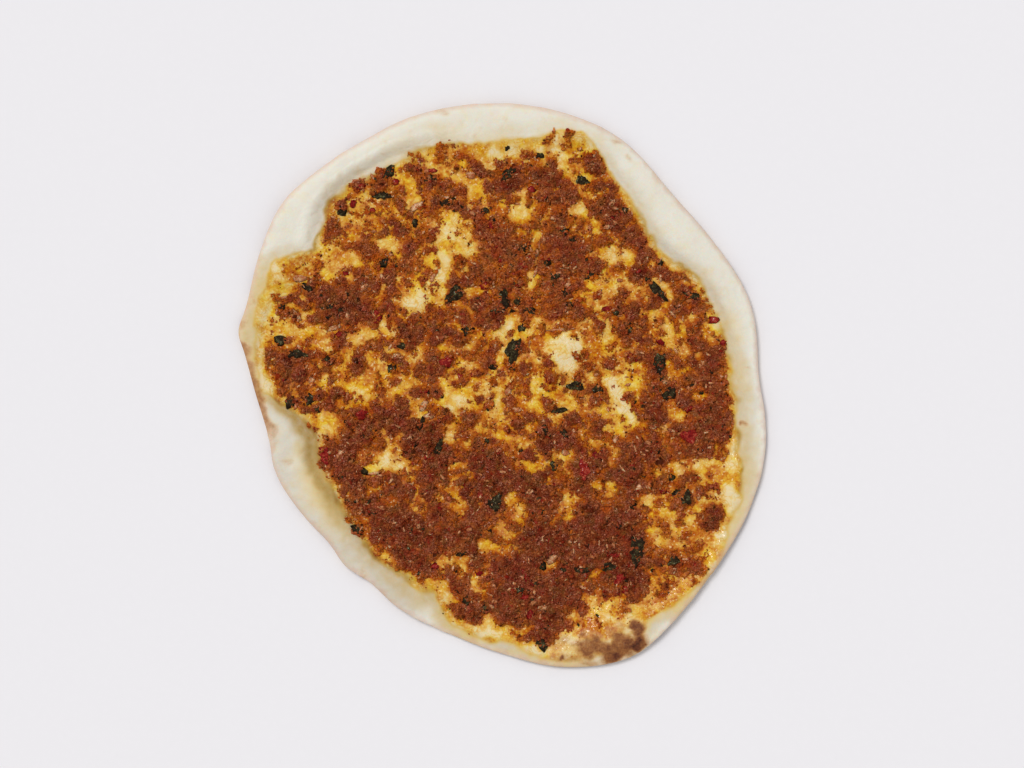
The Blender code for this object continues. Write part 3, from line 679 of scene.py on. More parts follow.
# How far the finished meat stops short of the measured border: degrees and millimetres
INSET = (
    (0, 2.5), (8, 0.5), (28, 0.5), (34, 4), (42, 4), (48, 2), (60, 1.5), (66, 0), (70, 3), (75, 0),
    (79, 7), (83, 5), (90, 3), (101, 2), (106, 1), (111, 6), (124, 6), (132, 4), (143, 3), (150, 3),
    (156, 3), (168, 3), (174, 0), (181, 1), (186, 3), (200, 2), (224, 1.5), (232, 0.5), (242, 1),
    (250, 3), (258, 0), (342, 0), (350, 2), (360, 2.5),
)


def meat_reach():
    """Distance from the middle to the border of the measured meat, for each degree."""
    distances = np.arange(0, MAP_REACH, MAP_STEP)
    there = np.isfinite(meat_heights).astype(float)
    turns = [math.radians(degree) for degree in range(360)]
    rays = [at_places(there, distances * math.cos(turn), distances * math.sin(turn)) for turn in turns]
    return np.array([distances[ray > 0.5].max() for ray in rays])


def ring_value(stops, angle):
    """Straight between (degrees, value) stops round the circle."""
    degrees, values = zip(*stops)
    return np.interp(np.degrees(angle) % 360, degrees, values, period=360)


border = np.interp(np.degrees(map_angle) % 360, np.arange(360), meat_reach(), period=360)
inside_border = border - ring_value(INSET, map_angle) * MM - map_distance
print("meat reaches", round(border.min() / MM), "to", round(border.max() / MM), "mm from the middle")

# %% How bare the dough is
SPILL_FADE = 5
ISLAND_FADE = 2.4
EDGE_LEFT_BARE = 3 * MM
EDGE_THINNING = 1.8 * MM
EDGE_SHIFT = 1.5 * MM
CROWD = 7 * MM


def thinning(distance, width):
    """1 well inside a border, 0.6 at it, with a long tail outside."""
    tail = 0.6 * np.exp(-np.clip(distance, 0, 1) / width)
    return np.where(distance < 0, 1 - 0.4 * np.exp(np.clip(distance, -1, 0) / (0.5 * width)), tail)


def bareness():
    """How bare the dough is at each place: 0 under packed mince, 1 where there is none."""
    shift = [map_clouds(span, seed) for span, seed in ((7, 1), (3.4, 2), (7, 3), (3.4, 4))]
    x = map_x + (2.4 * shift[0] + 1.5 * shift[1]) * MM
    y = map_y + (2.4 * shift[2] + 1.5 * shift[3]) * MM
    bare = 0.95 * thinning(inside_border + EDGE_SHIFT, EDGE_THINNING)
    for *oval, share in SPILLS:
        bare = np.minimum(bare, 1 - share * in_oval(x, y, oval, SPILL_FADE))
    for *oval, peak in OPENINGS:
        width = (1.6 + 0.35 * min(oval[2], oval[3])) * MM
        bare = np.maximum(bare, peak * thinning(oval_distance(x, y, oval) + 0.6 * MM, width))
    most = np.full(map_x.shape, 1.1)
    for *oval, share in ISLANDS:
        most = np.minimum(most, 1 - share * in_oval(x, y, oval, ISLAND_FADE))
    most = np.maximum(most, 1.1 * (1 - eased(1 + inside_border / (3 * MM))))
    bare = np.clip(np.minimum(bare, most), 0, 1.1)
    crowd = blurred(np.where(inside_border > 0, bare, 0.3), CROWD)
    crumbs_only = np.clip(1.5 * crowd - 0.14, 0, 0.5)
    bare = np.minimum(np.maximum(bare, crumbs_only), np.maximum(most, 0.15))
    return np.maximum(bare, 1.4 * eased(1.5 - to_edge / EDGE_LEFT_BARE))


# %% [markdown]
# Mince breaks into clumps as it dries, and the dough shows in the seams between them. Seams are where two
# scattered points are equally near, read at places that are shifted a little by noise, so that no seam
# runs straight.

# %% Break the spread up into clumps


def ridges(x, y, span, seed):
    """1 on the seams between scattered cells this wide, 0 inside them."""
    nearest, following, _ = pebbles(x, y, span, seed)
    return np.clip(1 - (following - nearest) / 0.5, 0, 1)


torn_x = map_x + (1.3 * map_clouds(4.5, 50) + 0.6 * map_clouds(1.8, 52)) * MM
torn_y = map_y + (1.3 * map_clouds(4.5, 51) + 0.6 * map_clouds(1.8, 53)) * MM


def crumbled(bare):
    """Breaks the smooth map up into clumps of mince with seams between them."""
    pattern = 0.5 * ridges(torn_x, torn_y, 9 * MM, 20) + 0.14 * ridges(torn_x, torn_y, 4.2 * MM, 21)
    pattern = pattern + 0.42 * clouds(torn_x, torn_y, 4.4 * MM, 5)
    pattern = pattern + 0.18 * clouds(torn_x, torn_y, 1.6 * MM, 6) - 0.22
    broad = 0.12 * map_clouds(22, 8) + 0.12 * map_clouds(9, 9)
    unsettled = 0.36 + np.sqrt(np.clip(bare * (1 - bare), 0, 1))
    return bare + broad * (1 - bare) + unsettled * pattern


bare = crumbled(bareness())
cover = 1 - bare
print("mince covers", square_cm(cover > 0.5), "square cm")

# %% [markdown]
# ## The dough
#
# The dough is one soft body, so its piece starts as a copy of the measured dough. Its loose triangles
# are merged, and two rounds of subdivision take out the facets. The upper side, which is what one
# looks at, is then divided once more, so that bubbles and wrinkles can be moved in as real form.

# %% Copy and smooth the dough


def copy_of(node, name):
    """A copy of a measured piece under a new name, with its corners merged and its pairs made quads."""
    piece = nodes[node].copy()
    piece.data = nodes[node].data.copy()
    piece.name = name
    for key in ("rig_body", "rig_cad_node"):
        del piece[key]
    piece.parent = None
    piece.data.materials.clear()
    bpy.context.scene.collection.objects.link(piece)
    pick(piece)
    bpy.ops.object.mode_set(mode="EDIT")
    bpy.ops.mesh.select_all(action="SELECT")
    bpy.ops.mesh.customdata_custom_splitnormals_clear()
    bpy.ops.mesh.remove_doubles(threshold=1e-6)
    bpy.ops.mesh.tris_convert_to_quads()
    bpy.ops.object.mode_set(mode="OBJECT")
    return piece


def open_faces(piece, chosen):
    """Opens the piece in edit mode with only the chosen faces selected."""
    pick(piece)
    bpy.ops.object.mode_set(mode="EDIT")
    bpy.ops.mesh.select_all(action="DESELECT")
    bpy.ops.object.mode_set(mode="OBJECT")
    piece.data.polygons.foreach_set("select", chosen)
    bpy.ops.object.mode_set(mode="EDIT")


dough = copy_of("bread", "dough")
apply_modifier(dough, "SUBSURF", levels=2, render_levels=2)
open_faces(dough, vectors_of(dough.data.polygons, "normal")[:, 2] > -0.3)
bpy.ops.mesh.select_mode(type="FACE")
bpy.ops.mesh.subdivide(number_cuts=1, smoothness=1)
bpy.ops.object.mode_set(mode="OBJECT")
dough.data.shade_smooth()
print("dough faces", len(dough.data.polygons))

# %% [markdown]
# ## Oil on the dough
#
# Fat and tomato juice run out of the mince while it bakes. Close to the meat the dough is stained
# orange-brown, further away amber, then yellow, and the tops of the domes stay cream. The stain is
# therefore the map of the meat, blurred. How far oil reached at all is a line drawn a little outside
# the meat; beyond it lies dry, floury rim.

# %% Map of soaking
# How far the oil reached: degrees and millimetres from the middle
OIL_EDGE = (
    (1, 122), (15, 120), (27, 119), (39, 111), (46, 111), (51, 117), (61, 124), (69, 138), (77, 140),
    (82, 133), (92, 129), (98, 130), (104, 133), (112, 132), (119, 130), (126, 131), (133, 133),
    (144, 122), (152, 136), (163, 136), (174, 132), (181, 127), (189, 107), (196, 102), (203, 104),
    (212, 105), (221, 108), (231, 112), (241, 115), (252, 116), (259, 130), (270, 136), (282, 149),
    (297, 154), (302, 147), (309, 148), (320, 148), (328, 142), (338, 138), (344, 131), (354, 125),
)
OIL_FADE = 5 * MM

wander = 1.8 * MM * map_clouds(9, 7) + 0.9 * MM * map_clouds(3, 8)
inside_oil = ring_value(OIL_EDGE, map_angle) * MM + wander - map_distance
soak = eased(0.5 + inside_oil / OIL_FADE)
print("soaked dough", square_cm(soak), "square cm")

# %% Map of the stain
# Pools of fat: place, half length, half width, direction and depth of colour
AMBER = (
    (45, -127, 5.4, 5, 0, 0.46), (52.5, 50.5, 9, 6, 10, 0.3), (62, -119, 6, 5, 60, 0.36),
    (54, 44, 8, 2.4, 10, 0.42), (31, -5, 7, 3, -40, 0.38), (41, 4, 6, 2.4, 5, 0.36),
    (19, 22, 5, 8, 0, 0.44), (-87, 66, 9, 6, 0, 0.3), (-80, 79, 10, 8, 30, 0.4),
    (-62, 118, 12, 4, 40, 0.34), (-92, 92, 4, 12, -20, 0.36), (-12.5, 24, 6, 4, 0, 0.38),
    (-49, 106, 4, 9, 20, 0.28), (-91, -21, 8, 6, 30, 0.2), (100, 15, 8, 5, -30, 0.42),
    (91, -75, 12, 6, -20, 0.3), (88, -110, 20, 8, 38, 0.3), (64, 60, 10, 5, 0, 0.42),
    (114, -48, 5, 6, 0, 0.36), (-1, -76, 8, 6, 0, 0.34), (-43, -60, 4, 8, 0, 0.4),
    (-25, 120, 14, 8, 0, 0.36), (-106, 62, 12, 7, 25, 0.34), (48, 22, 5, 14, 10, 0.46),
    (-68, 4, 12, 8, 0, 0.36), (-95, 24, 14, 5, 0, 0.34), (104, -80, 10, 6, -30, 0.38),
    (51, -130, 12, 5, 10, 0.42),
)
# Domes that rose clear of the oil, in the same way, with how much of the stain they lack
PALE_DOMES = (
    (34, 18, 9, 7.5, 100, 0.75), (-27, 83, 9, 5, 60, 0.5), (-45, 44.5, 9, 5.6, 25, 0.6),
    (64, -9, 13, 4.6, -60, 0.75), (-33, 62, 4, 14, 5, 0.5), (10, 92, 5.4, 4.6, 0, 0.5),
    (0.5, 30, 6, 4, 30, 0.6), (16, 57, 3, 6, 10, 0.6), (-127, 44, 5, 14, -15, 0.6),
    (-74, -3, 8, 4, -10, 0.4), (-68, -45, 8, 5, 20, 0.4),
)

wetted = np.clip(cover, 0, 1)
stain = 0.34 * blurred(wetted, 0.8 * MM) + 0.46 * blurred(wetted, 2.6 * MM)
stain = stain + 0.3 * blurred(wetted, 5.2 * MM)
stain = stain + 0.16 * map_clouds(3.4, 34) * eased(stain / 0.3) - 0.08
stain = np.maximum(stain, 0.13 + 0.24 * map_clouds(6, 33) - 0.2 * blurred(cover, 7 * MM))
for *oval, share in PALE_DOMES:
    stain = stain * (1 - share * in_oval(torn_x, torn_y, oval, 4))
for *oval, depth in AMBER:
    stain = np.maximum(stain, depth * in_oval(torn_x, torn_y, oval, 3))
print("stain is", round(stain[soak > 0.5].mean(), 2), "on average where oil reached")

# %% [markdown]
# Four marks follow the rim, each stronger on some sides than on others, so each is a ring of strengths:
# a film of grease on the dry dough beside the oil, a brown line of painted shadow where the rim folds
# over, painted shade tinted olive in the hollow tucked in behind that line, and grey shade painted on
# where the rim turns from the light.

# %% Marks along the rim
# Strengths of the film of grease: degrees and a share
GREASY = (
    (0, 0.5), (12, 0.6), (20, 0.35), (40, 0.1), (52, 0.35), (60, 0.1), (80, 0.3), (105, 0.4),
    (125, 0.45), (140, 0.05), (150, 0.4), (157, 0.8), (180, 0.8), (190, 0.2), (198, 0.7), (207, 1),
    (219, 0.8), (226, 0.3), (240, 0.45), (252, 0.5), (262, 1), (275, 0.7), (285, 0.9), (300, 0.9),
    (320, 0.8), (335, 0.7), (347, 0.45), (360, 0.5),
)
# Strengths of the brown line of painted shadow along the fold
FOLD_SHADOW = (
    (0, 0.8), (20, 0.5), (40, 0.7), (52, 0.8), (60, 0.3), (75, 0.1), (92, 0.15), (108, 0.5), (125, 0.7),
    (145, 0.7), (152, 0.2), (180, 0.5), (188, 1), (200, 1), (215, 0.9), (235, 0.8), (250, 0.6),
    (260, 0.2), (330, 0.2), (340, 0.5), (348, 0.8), (360, 0.8),
)
# Strengths of the painted shade, tinted olive, in the hollow behind the fold
TUCK_SHADE = (
    (0, 0.3), (60, 0.3), (70, 0.1), (100, 0.2), (180, 0.4), (187, 1), (212, 1), (222, 0.5), (250, 0.4),
    (262, 0.2), (335, 0.2), (345, 0.4), (360, 0.3),
)
# Strengths of the grey shade painted on the rim
PAINTED_RIM_SHADE = (
    (0, 0.35), (15, 0.1), (60, 0.1), (130, 0), (150, 0.1), (180, 0.5), (205, 0.6), (230, 0.7),
    (250, 0.8), (265, 0.8), (285, 0.8), (300, 0.6), (311, 0.35), (325, 0.35), (345, 0.4), (360, 0.35),
)
greasy = ring_value(GREASY, map_angle) + 0.15 * map_clouds(12, 36)
grease = greasy * eased(1 + inside_oil / ((6 + 22 * np.clip(greasy, 0, 1)) * MM))
# A brown line of painted shadow along the fold
fold_shadow = np.exp(-(((inside_oil - 0.4 * MM) / (1.6 * MM)) ** 2)) * ring_value(FOLD_SHADOW, map_angle)
fold_shadow = fold_shadow * np.clip(0.7 + 0.6 * map_clouds(6, 35), 0, 1)
# Painted shade, tinted olive, in the hollow behind the fold
tuck = np.exp(-(((inside_oil + 3.4 * MM) / (4.8 * MM)) ** 2)) * ring_value(TUCK_SHADE, map_angle)
print("greased rim", square_cm(grease * (1 - soak)), "square cm")

# %% [markdown]
# ## Baked spots
#
# The oven's floor and flames leave their mark only in places: a toasted edge on the left, a blister
# burst brown at the bottom, and a few small freckles on the rim. Each is an oval with a strength and the
# width over which it fades.

# %% Map of the browned spots
# Place, half length, half width, direction, strength and width of the border
TOASTED = (
    (50, -139.5, 12, 6, 8, 0.74, 7), (63.5, -136.5, 9, 7, 10, 0.76, 7), (72.5, -136, 5, 6, -30, 1, 5),
    (71, -128.5, 4.6, 4.4, 0, 0.8, 5), (43, -145, 17, 3.6, -3, 0.5, 5), (60, -143, 12, 4.4, 8, 0.8, 5),
    (44, -132.4, 4, 1.8, 0, 0.6, 2), (32, -144.6, 2.2, 2, 0, 0.75, 2), (63, -127, 2.4, 2, 0, 0.5, 3),
    (-31.5, 144.8, 4, 2.4, 10, 0.3, 3), (60.7, 128.4, 2.8, 2, -30, 0.4, 3),
    (66.5, 121.5, 2, 1.4, -40, 0.4, 3), (-73.4, -99.5, 5, 3, 120, 0.3, 3),
    (130.6, 9.1, 2, 1.6, 0, 0.35, 3), (-113.7, -40.1, 3.6, 2.4, 100, 0.35, 3),
    (127.5, -20, 2, 1.8, 0, 0.6, 2), (-138, 14, 5, 3, 90, 0.6, 3), (-133, 45, 2.4, 4, 0, 0.3, 4),
    (31, -136, 8, 4, -4, 0.45, 6),
)
# Patches where flour stayed on, in the same way
FLOURED = (
    (49, -144, 5, 2.4, 0, 0.5, 4), (83, -128, 9, 3.6, 42, 0.8, 7), (-3, -137, 8, 3, 0, 0.6, 4),
)
LEFT_EDGE = (180, 13)
LEFT_EDGE_WIDTH = 6.5 * MM


def spotted(spots):
    """The strongest of these ovals at each place, with wandering borders."""
    shift = 2.4 * MM * map_clouds(6, 9) + 0.8 * MM * map_clouds(2, 10)
    found = np.zeros(map_x.shape)
    for *oval, strength, fade in spots:
        found = np.maximum(found, strength * in_oval(map_x + shift, map_y - shift, oval, fade))
    return found


def toast_map():
    """How browned the dough is at each place."""
    shift = 2.4 * MM * map_clouds(6, 9)
    middle, half = LEFT_EDGE
    turned = np.degrees(map_angle) % 360
    window = eased(1.5 - np.abs(turned - middle) / half)
    edge = 0.6 * window * eased(1.2 - (to_edge + shift) / LEFT_EDGE_WIDTH)
    return np.maximum(spotted(TOASTED), edge) * (1 - flour)


flour = spotted(FLOURED)
toast = toast_map()
soak = soak * (1 - flour)
grease = grease * (1 - flour)
print("most browned", round(toast.max(), 2))

# %% [markdown]
# ## Bubbles and wrinkles
#
# Between the meat the dough rose into soft domes, because nothing weighed it down there. The rim is
# pillowy, with long shallow dents left by fingers. All of that is moved into the upper side of the
# mesh, along its normals, from the same maps.

# %% Shape the dough's skin
DOME = 0.9 * MM
RIM_DENT = 0.5 * MM
UNDER_DENT = 0.25 * MM

near_meat = np.clip(blurred(cover, 3 * MM), 0, 1)


def skin_relief(x, y):
    """How far the dough's skin stands out of the smooth form at these places."""
    rim = 1 - at_places(soak, x, y)
    free = at_places(eased(1.25 * (1 - near_meat)), x, y)
    dome = DOME * free * (1 - rim) * (0.75 + 0.25 * clouds(x, y, 7 * MM, 10))
    wrinkle = 0.16 * MM * clouds(x, y, 3.6 * MM, 11) + 0.07 * MM * clouds(x, y, 1.7 * MM, 12)
    fold = 1 - 2 * np.abs(clouds(x, y, 17 * MM, 17))
    pillow = RIM_DENT * (0.6 * clouds(x, y, 24 * MM, 13) + 0.7 * fold)
    pillow = pillow + 0.1 * MM * clouds(x, y, 6 * MM, 14)
    return dome + wrinkle * (1 - 0.75 * rim) + pillow * rim


def shape_skin(piece):
    """Moves the skin out by its relief, and dents the underside."""
    corners = points_of(piece)
    normals = normals_of(piece)
    x, y = corners[:, 0], corners[:, 1]
    upward = eased((normals[:, 2] - 0.1) / 0.5)
    corners += normals * (upward * skin_relief(x, y))[:, None]
    downward = eased((-normals[:, 2] - 0.5) / 0.4)
    dents = np.clip(1 - pebbles(x, y, 16 * MM, 15)[0], 0, 1) + 0.4 * clouds(x, y, 5 * MM, 16)
    corners[:, 2] += downward * UNDER_DENT * np.clip(dents, 0, 1)
    move_points(piece, corners)


shape_skin(dough)
print("dough box", [round(side / MM, 1) for side in dough.dimensions])

# %% [markdown]
# A finish can't read a map, but it can read numbers that are stored on the corners of the mesh. So each
# map is noted there, with four more: how much grey shade is painted on the rim, how near the outline,
# how far the skin turns from the light, which is where it is painted lighter to take out its shade, and
# whether it faces down.

# %% Note the maps on the dough
OUTLINE_BELT = 5 * MM
DOUGH_MAPS = {
    "stain": stain, "soak": soak, "toast": toast, "grease": grease, "fold": fold_shadow, "tuck": tuck,
}


def note_maps(piece):
    """Stores on each corner what the finish has to know there."""
    corners = points_of(piece)
    normals = normals_of(piece)
    x, y = corners[:, 0], corners[:, 1]
    for name, values in DOUGH_MAPS.items():
        note(piece, name, at_places(values, x, y))
    angle = np.arctan2(y, x)
    left = edge_at(angle) - np.hypot(x, y)
    light = np.array(KEY_PLACE[:2]) / math.hypot(*KEY_PLACE[:2])
    note(piece, "dull", ring_value(PAINTED_RIM_SHADE, angle))
    note(piece, "belt", eased(1 - left / OUTLINE_BELT))
    # Where the skin turns from the key light it is painted lighter, taking out its shade
    note(piece, "hollow", eased(-(normals[:, :2] @ light) / 0.4))
    note(piece, "under", eased(0.5 - normals[:, 2] / 0.5))


note_maps(dough)
print("notes on the dough:", ", ".join(DOUGH_MAPS), "and four more")

# %% [markdown]
# ## The finish of the dough
#
# Baked dough is matt where flour lies on it and shiny where oil does, so oil drives both the colour
# and the coat. Fine noise breaks every border up, at the size of the pores. The underside saw only
# the stone: cream, with brown spots where it touched.

# %% Colours of the oiled dough
RUSTY = seen(178, 84, 18)
GOLDEN = seen(255, 247, 124)
ROSY = seen(222, 176, 134)
PAINTED_GLINT = seen(246, 220, 160)


def oiled_dough(look, stained, near):
    """Cream where little oil went in, then yellow, amber and brown, with small painted glints on the oil.
    """
    oily = look.ramp(
        stained, (0, 231, 212, 168), (0.08, 229, 205, 148), (0.17, 225, 185, 104), (0.28, 218, 166, 74),
        (0.4, 204, 135, 46), (0.52, 187, 104, 28), (0.66, 168, 78, 14), (0.85, 126, 50, 12),
    )
    rusty = near.steep(0.06, 0.34) * 0.6
    painted_glints = near.steep(0.06, 0.2) * 0.55
    oily = look.clouded(oily, RUSTY, rusty, 3.2 * MM, 0.5, 0.64, distortion=0.5)
    golden = look.noise(8 * MM, detail=3, distortion=0.5).steep(0.36, 0.6) * near.steep(0.02, 0.16)
    oily = look.blend(golden, oily, GOLDEN, "MULTIPLY")
    oily = look.clouded(oily, ROSY, 0.12, 5 * MM, 0.54, 0.68, detail=2, distortion=0.5)
    # Small spots painted pale yellow: painted glints on the oil
    return look.clouded(oily, PAINTED_GLINT, painted_glints, 1.6 * MM, 0.64, 0.7, detail=1)


# %% Colours of the dry dough
PINK = seen(232, 212, 196)
BUTTER = seen(234, 220, 176)
GREY = seen(186, 172, 150)


def dry_dough(look, pores, mottle):
    """White with flour, pink and buttery in clouds, with painted grey shade, painted lighter where the
    skin turns from the light, and yellow with grease.
    """
    dry = look.blend(look.noise(22 * MM), seen(234, 231, 221), seen(226, 221, 203))
    dry = look.blend((pores * 0.5 + mottle * 0.5).steep(0.52, 0.8) * 0.5, dry, seen(238, 235, 228))
    dry = look.clouded(dry, PINK, 0.3, 8 * MM, 0.5, 0.7)
    dry = look.clouded(dry, BUTTER, 0.35, 6 * MM, 0.5, 0.7, distortion=0.5)
    # Grey shade painted on where the rim turns from the light
    dry = look.blend(look.attribute("dull") * (0.45 + mottle * 0.5), dry, GREY)
    # Painted lightening where the skin turns from the key light, which takes out its shade
    dry = look.blend(look.attribute("hollow"), dry, seen(246, 243, 230))
    grease = look.attribute("grease") + (mottle - 0.5) * 0.35
    return look.blend(grease.steep(0.1, 1) * 0.9, dry, seen(228, 200, 128))


def marked(look, upper, mottle):
    """The upper side with painted olive shade in the hollow, a brown line of painted shadow along the
    fold and the darker belt along the outline.
    """
    # Painted shade, tinted olive, in the hollow behind the fold
    tuck_shaded = (look.attribute("tuck") * (0.55 + mottle * 0.7)).clamped()
    upper = look.blend(tuck_shaded, upper, seen(180, 148, 86))
    # A brown line of painted shadow along the fold
    fold_shadowed = (look.attribute("fold") * (0.4 + mottle * 0.6)).clamped()
    upper = look.blend(fold_shadowed, upper, seen(132, 90, 38))
    belt = (look.attribute("belt") + (mottle - 0.5) * 0.6).steep(0.2, 0.9)
    return look.blend(belt * 0.5, upper, seen(214, 176, 156))


# %% Colours from the oven


def underside(look, pores, mottle):
    """Cream with brown spots where it touched the stone, the deepest of them charred."""
    spots = look.cells(11 * MM)
    leopard = (0.62 - spots + (mottle - 0.5) * 0.5).steep(0.1, 0.42)
    base = look.blend(leopard, seen(222, 200, 160), seen(150, 100, 58))
    char = (0.34 - spots + (pores - 0.5) * 0.3).steep(0.1, 0.3)
    return look.blend(char * 0.8, base, seen(70, 42, 26))


def toasted(look, skin, baked, pores, mottle):
    """The dough with its baked spots, from tan through brown to nearly black."""
    browned = baked + (mottle - 0.5) * 0.7 + (pores - 0.5) * 0.4 - 0.06
    brown = look.ramp(
        browned, (0.1, 220, 192, 150), (0.3, 198, 152, 102), (0.48, 176, 124, 74),
        (0.66, 146, 94, 54), (0.85, 108, 62, 42), (1, 70, 40, 30),
    )
    return look.blend((baked + (mottle - 0.5) * 0.3).steep(0.04, 0.7), skin, brown)


# %% Dough material


def dough_finish():
    """The whole finish: where each of those colours shows, and how the skin shines."""
    look = Finish(
        "baked_dough_skin", subsurface_weight=0.1, subsurface_scale=0.002, coat_roughness=0.12,
        specular_ior_level=0.05,
    )
    pores = look.noise(1.1 * MM, detail=3)
    mottle = look.noise(4.5 * MM, detail=3)
    crease = 1 - ((look.noise(5 * MM, distortion=0.6) - 0.5).unsigned() * 16).clamped()
    near = look.attribute("stain")
    uneven = (near * 1.8 + 0.3).clamped()
    streaks = look.noise(2.4 * MM, detail=3, distortion=0.8) - 0.5
    flecks = (pores - 0.5) * 0.5 + (mottle - 0.5) * 0.8 + streaks * 0.6
    oily = oiled_dough(look, near + flecks * uneven + crease * 0.12, near)
    soaked = look.attribute("soak") + (mottle - 0.5) * 0.3
    yellowed = look.blend(soaked.steep(0.02, 0.5), dry_dough(look, pores, mottle), seen(224, 188, 100))
    upper = marked(look, look.blend(soaked.steep(0.35, 0.8), yellowed, oily), mottle)
    under = look.attribute("under").steep(0.45, 0.75)
    skin = look.blend(under, upper, underside(look, pores, mottle))
    baked = look.attribute("toast") * (1 - under * 0.6)
    wrinkled = (look.noise(9 * MM, detail=4, distortion=0.3) - 0.5).unsigned() * 4
    wrinkled = wrinkled * (1 - soaked.clamped())
    height = pores * 0.4 + mottle * 0.6 - crease * soaked.steep(0.4, 0.9) * 0.35 + wrinkled * 0.8
    gloss = soaked.steep(0.3, 0.9) * (1 - under)
    sparks = look.noise(1.4 * MM, detail=1).steep(0.6, 0.72)
    look.to(
        base_color=toasted(look, skin, baked, pores, mottle),
        roughness=0.78 - gloss * 0.36,
        coat_weight=gloss * (0.05 + sparks * 0.8),
        normal=look.bump(height, 0.5 * MM, 0.6),
    )
    return look.material


dough.data.materials.append(dough_finish())
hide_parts("bread")
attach(dough, "root")
print("dough piece has", len(dough.data.attributes), "attributes")

# %% [markdown]
# ## The bed of meat
#
# Under the loose grains lies a continuous bed of mince, pressed together by the fingers. It could be
# sculpted, but here the measured meat already gives its thickness everywhere, so a grid is draped on
# the dough at that thickness and dips under the dough's skin where the map says there is no meat. The
# two surfaces then cross in a border as ragged as the map's.

# %% Heights of the dough and of the meat on it
MEAT_TUCK = 2.6 * MM
THINNEST = 0.6 * MM
THICKEST = 5 * MM
LUMP_RISE = 0.55 * MM
GRAIN_RISE = 0.28 * MM

dough_heights = heights_of(dough)
dough_heights[np.isnan(dough_heights)] = 0


def measured_thickness():
    """Thickness of the measured meat over the dough, carried on smoothly across its openings."""
    there = np.isfinite(meat_heights).astype(float)
    thick = there * (np.nan_to_num(meat_heights) - dough_heights)
    weight = blurred(there, MM) + 1e-3 * blurred(there, 6 * MM) + 1e-6
    spread = blurred(thick, MM) + 1e-3 * blurred(thick, 6 * MM)
    return np.clip(spread / weight, THINNEST, THICKEST)


def bed_heights():
    """Height of the bed of meat, below the dough where none lies."""
    share = np.clip((cover - 0.5) / 0.35, -1, 1)
    rise = np.sign(share) * np.abs(share) ** 0.7
    lumps = LUMP_RISE * (0.62 - pebbles(map_x, map_y, 4.6 * MM, 20)[0]) * 1.6
    grains = GRAIN_RISE * (0.6 - pebbles(map_x, map_y, 1.7 * MM, 21)[0]) * 1.6
    thick = measured_thickness() * np.clip(rise, 0, 1) + MEAT_TUCK * np.minimum(rise, 0)
    return dough_heights + thick + (lumps + grains) * np.clip(rise, 0, 1)


bed = bed_heights()
print("meat is up to", round((bed - dough_heights).max() / MM, 1), "mm thick")

# %% [markdown]
# The grid is a primitive plane cut into cells under a millimetre wide. Cells that would lie well below
# the skin are deleted, and Solidify closes the sheet underneath, inside the dough.

# %% Drape the bed
CELL = 0.95 * MM
SUNK_ENOUGH = 0.55 * MM
BED_BACK = 0.5 * MM


def draped_bed():
    """A grid at the height of the bed, without its cells well below the dough's skin."""
    low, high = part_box("meat_topping")
    margin = Vector((3 * MM, 3 * MM, 0))
    low, high = low - margin, high + margin
    count = [round((high[axis] - low[axis]) / CELL) for axis in (0, 1)]
    bpy.ops.mesh.primitive_grid_add(x_subdivisions=count[0], y_subdivisions=count[1], size=2)
    piece = named("minced_meat_bed")
    corners = points_of(piece)
    for axis in (0, 1):
        half = (high[axis] - low[axis]) / 2
        corners[:, axis] = corners[:, axis] * half + (high[axis] + low[axis]) / 2
    x, y = corners[:, 0], corners[:, 1]
    corners[:, 2] = at_places(bed, x, y)
    sunk = corners[:, 2] < at_places(dough_heights, x, y) - SUNK_ENOUGH
    corners[:, 2] = np.maximum(corners[:, 2], BED_BACK)
    move_points(piece, corners)
    faces = np.empty(4 * len(piece.data.polygons), np.int32)
    piece.data.polygons.foreach_get("vertices", faces)
    open_faces(piece, sunk[faces.reshape(-1, 4)].all(axis=1))
    bpy.ops.mesh.delete(type="FACE")
    bpy.ops.object.mode_set(mode="OBJECT")
    return piece


meat_bed = draped_bed()
apply_modifier(meat_bed, "SOLIDIFY", thickness=BED_BACK, offset=-1)
meat_bed.data.shade_smooth()
print("bed triangles", 2 * len(meat_bed.data.polygons))

# %% [markdown]
# ## Tones of the meat
#
# Mince isn't one brown. Wetter places are redder and darker, places where the fat has run are more
# orange, and single grains catch the light. One map holds the slow changes, and each grain adds a
# chance of its own. The finish then turns that one number, from 0 to 1, into a colour.

# %% Map of the meat's tone
# Lighter and darker stretches: place, half length, half width, direction and change of tone
BROAD_TONES = (
    (14, 64, 36, 26, 0, 0.15), (-85, 48, 18, 12, 0, 0.05), (108, -10, 14, 34, 0, 0.05),
    (-28, -68, 44, 26, 0, -0.04), (40, -92, 44, 12, 0, -0.03),
)

clump_luck = pebbles(map_x, map_y, 6 * MM, 23)[2]
juice = 0.8 * blurred(bare, 0.8 * MM) + 0.7 * blurred(bare, 2.8 * MM) - 0.36
seams = ridges(torn_x, torn_y, 12 * MM, 24) * eased(0.6 + map_clouds(17, 25))
juice = np.clip(juice + 0.3 * seams + 0.1 * map_clouds(7, 26), 0, 0.9)
tone = 0.34 + 0.12 * (clump_luck - 0.5) + 0.1 * map_clouds(3.6, 31) + 0.74 * juice
# Painted shade: the seams between the bed's lumps are made darker
crevice_shade = ridges(map_x, map_y, 4.6 * MM, 20) ** 2 * eased((cover - 0.6) / 0.3)
tone = tone + 0.08 * map_clouds(9, 32) - 0.14 * crevice_shade
for *oval, lighter in BROAD_TONES:
    tone = tone + lighter * in_oval(map_x, map_y, oval, 24)
print("tone of the meat", round(tone[cover > 0.5].mean(), 2), "on average")

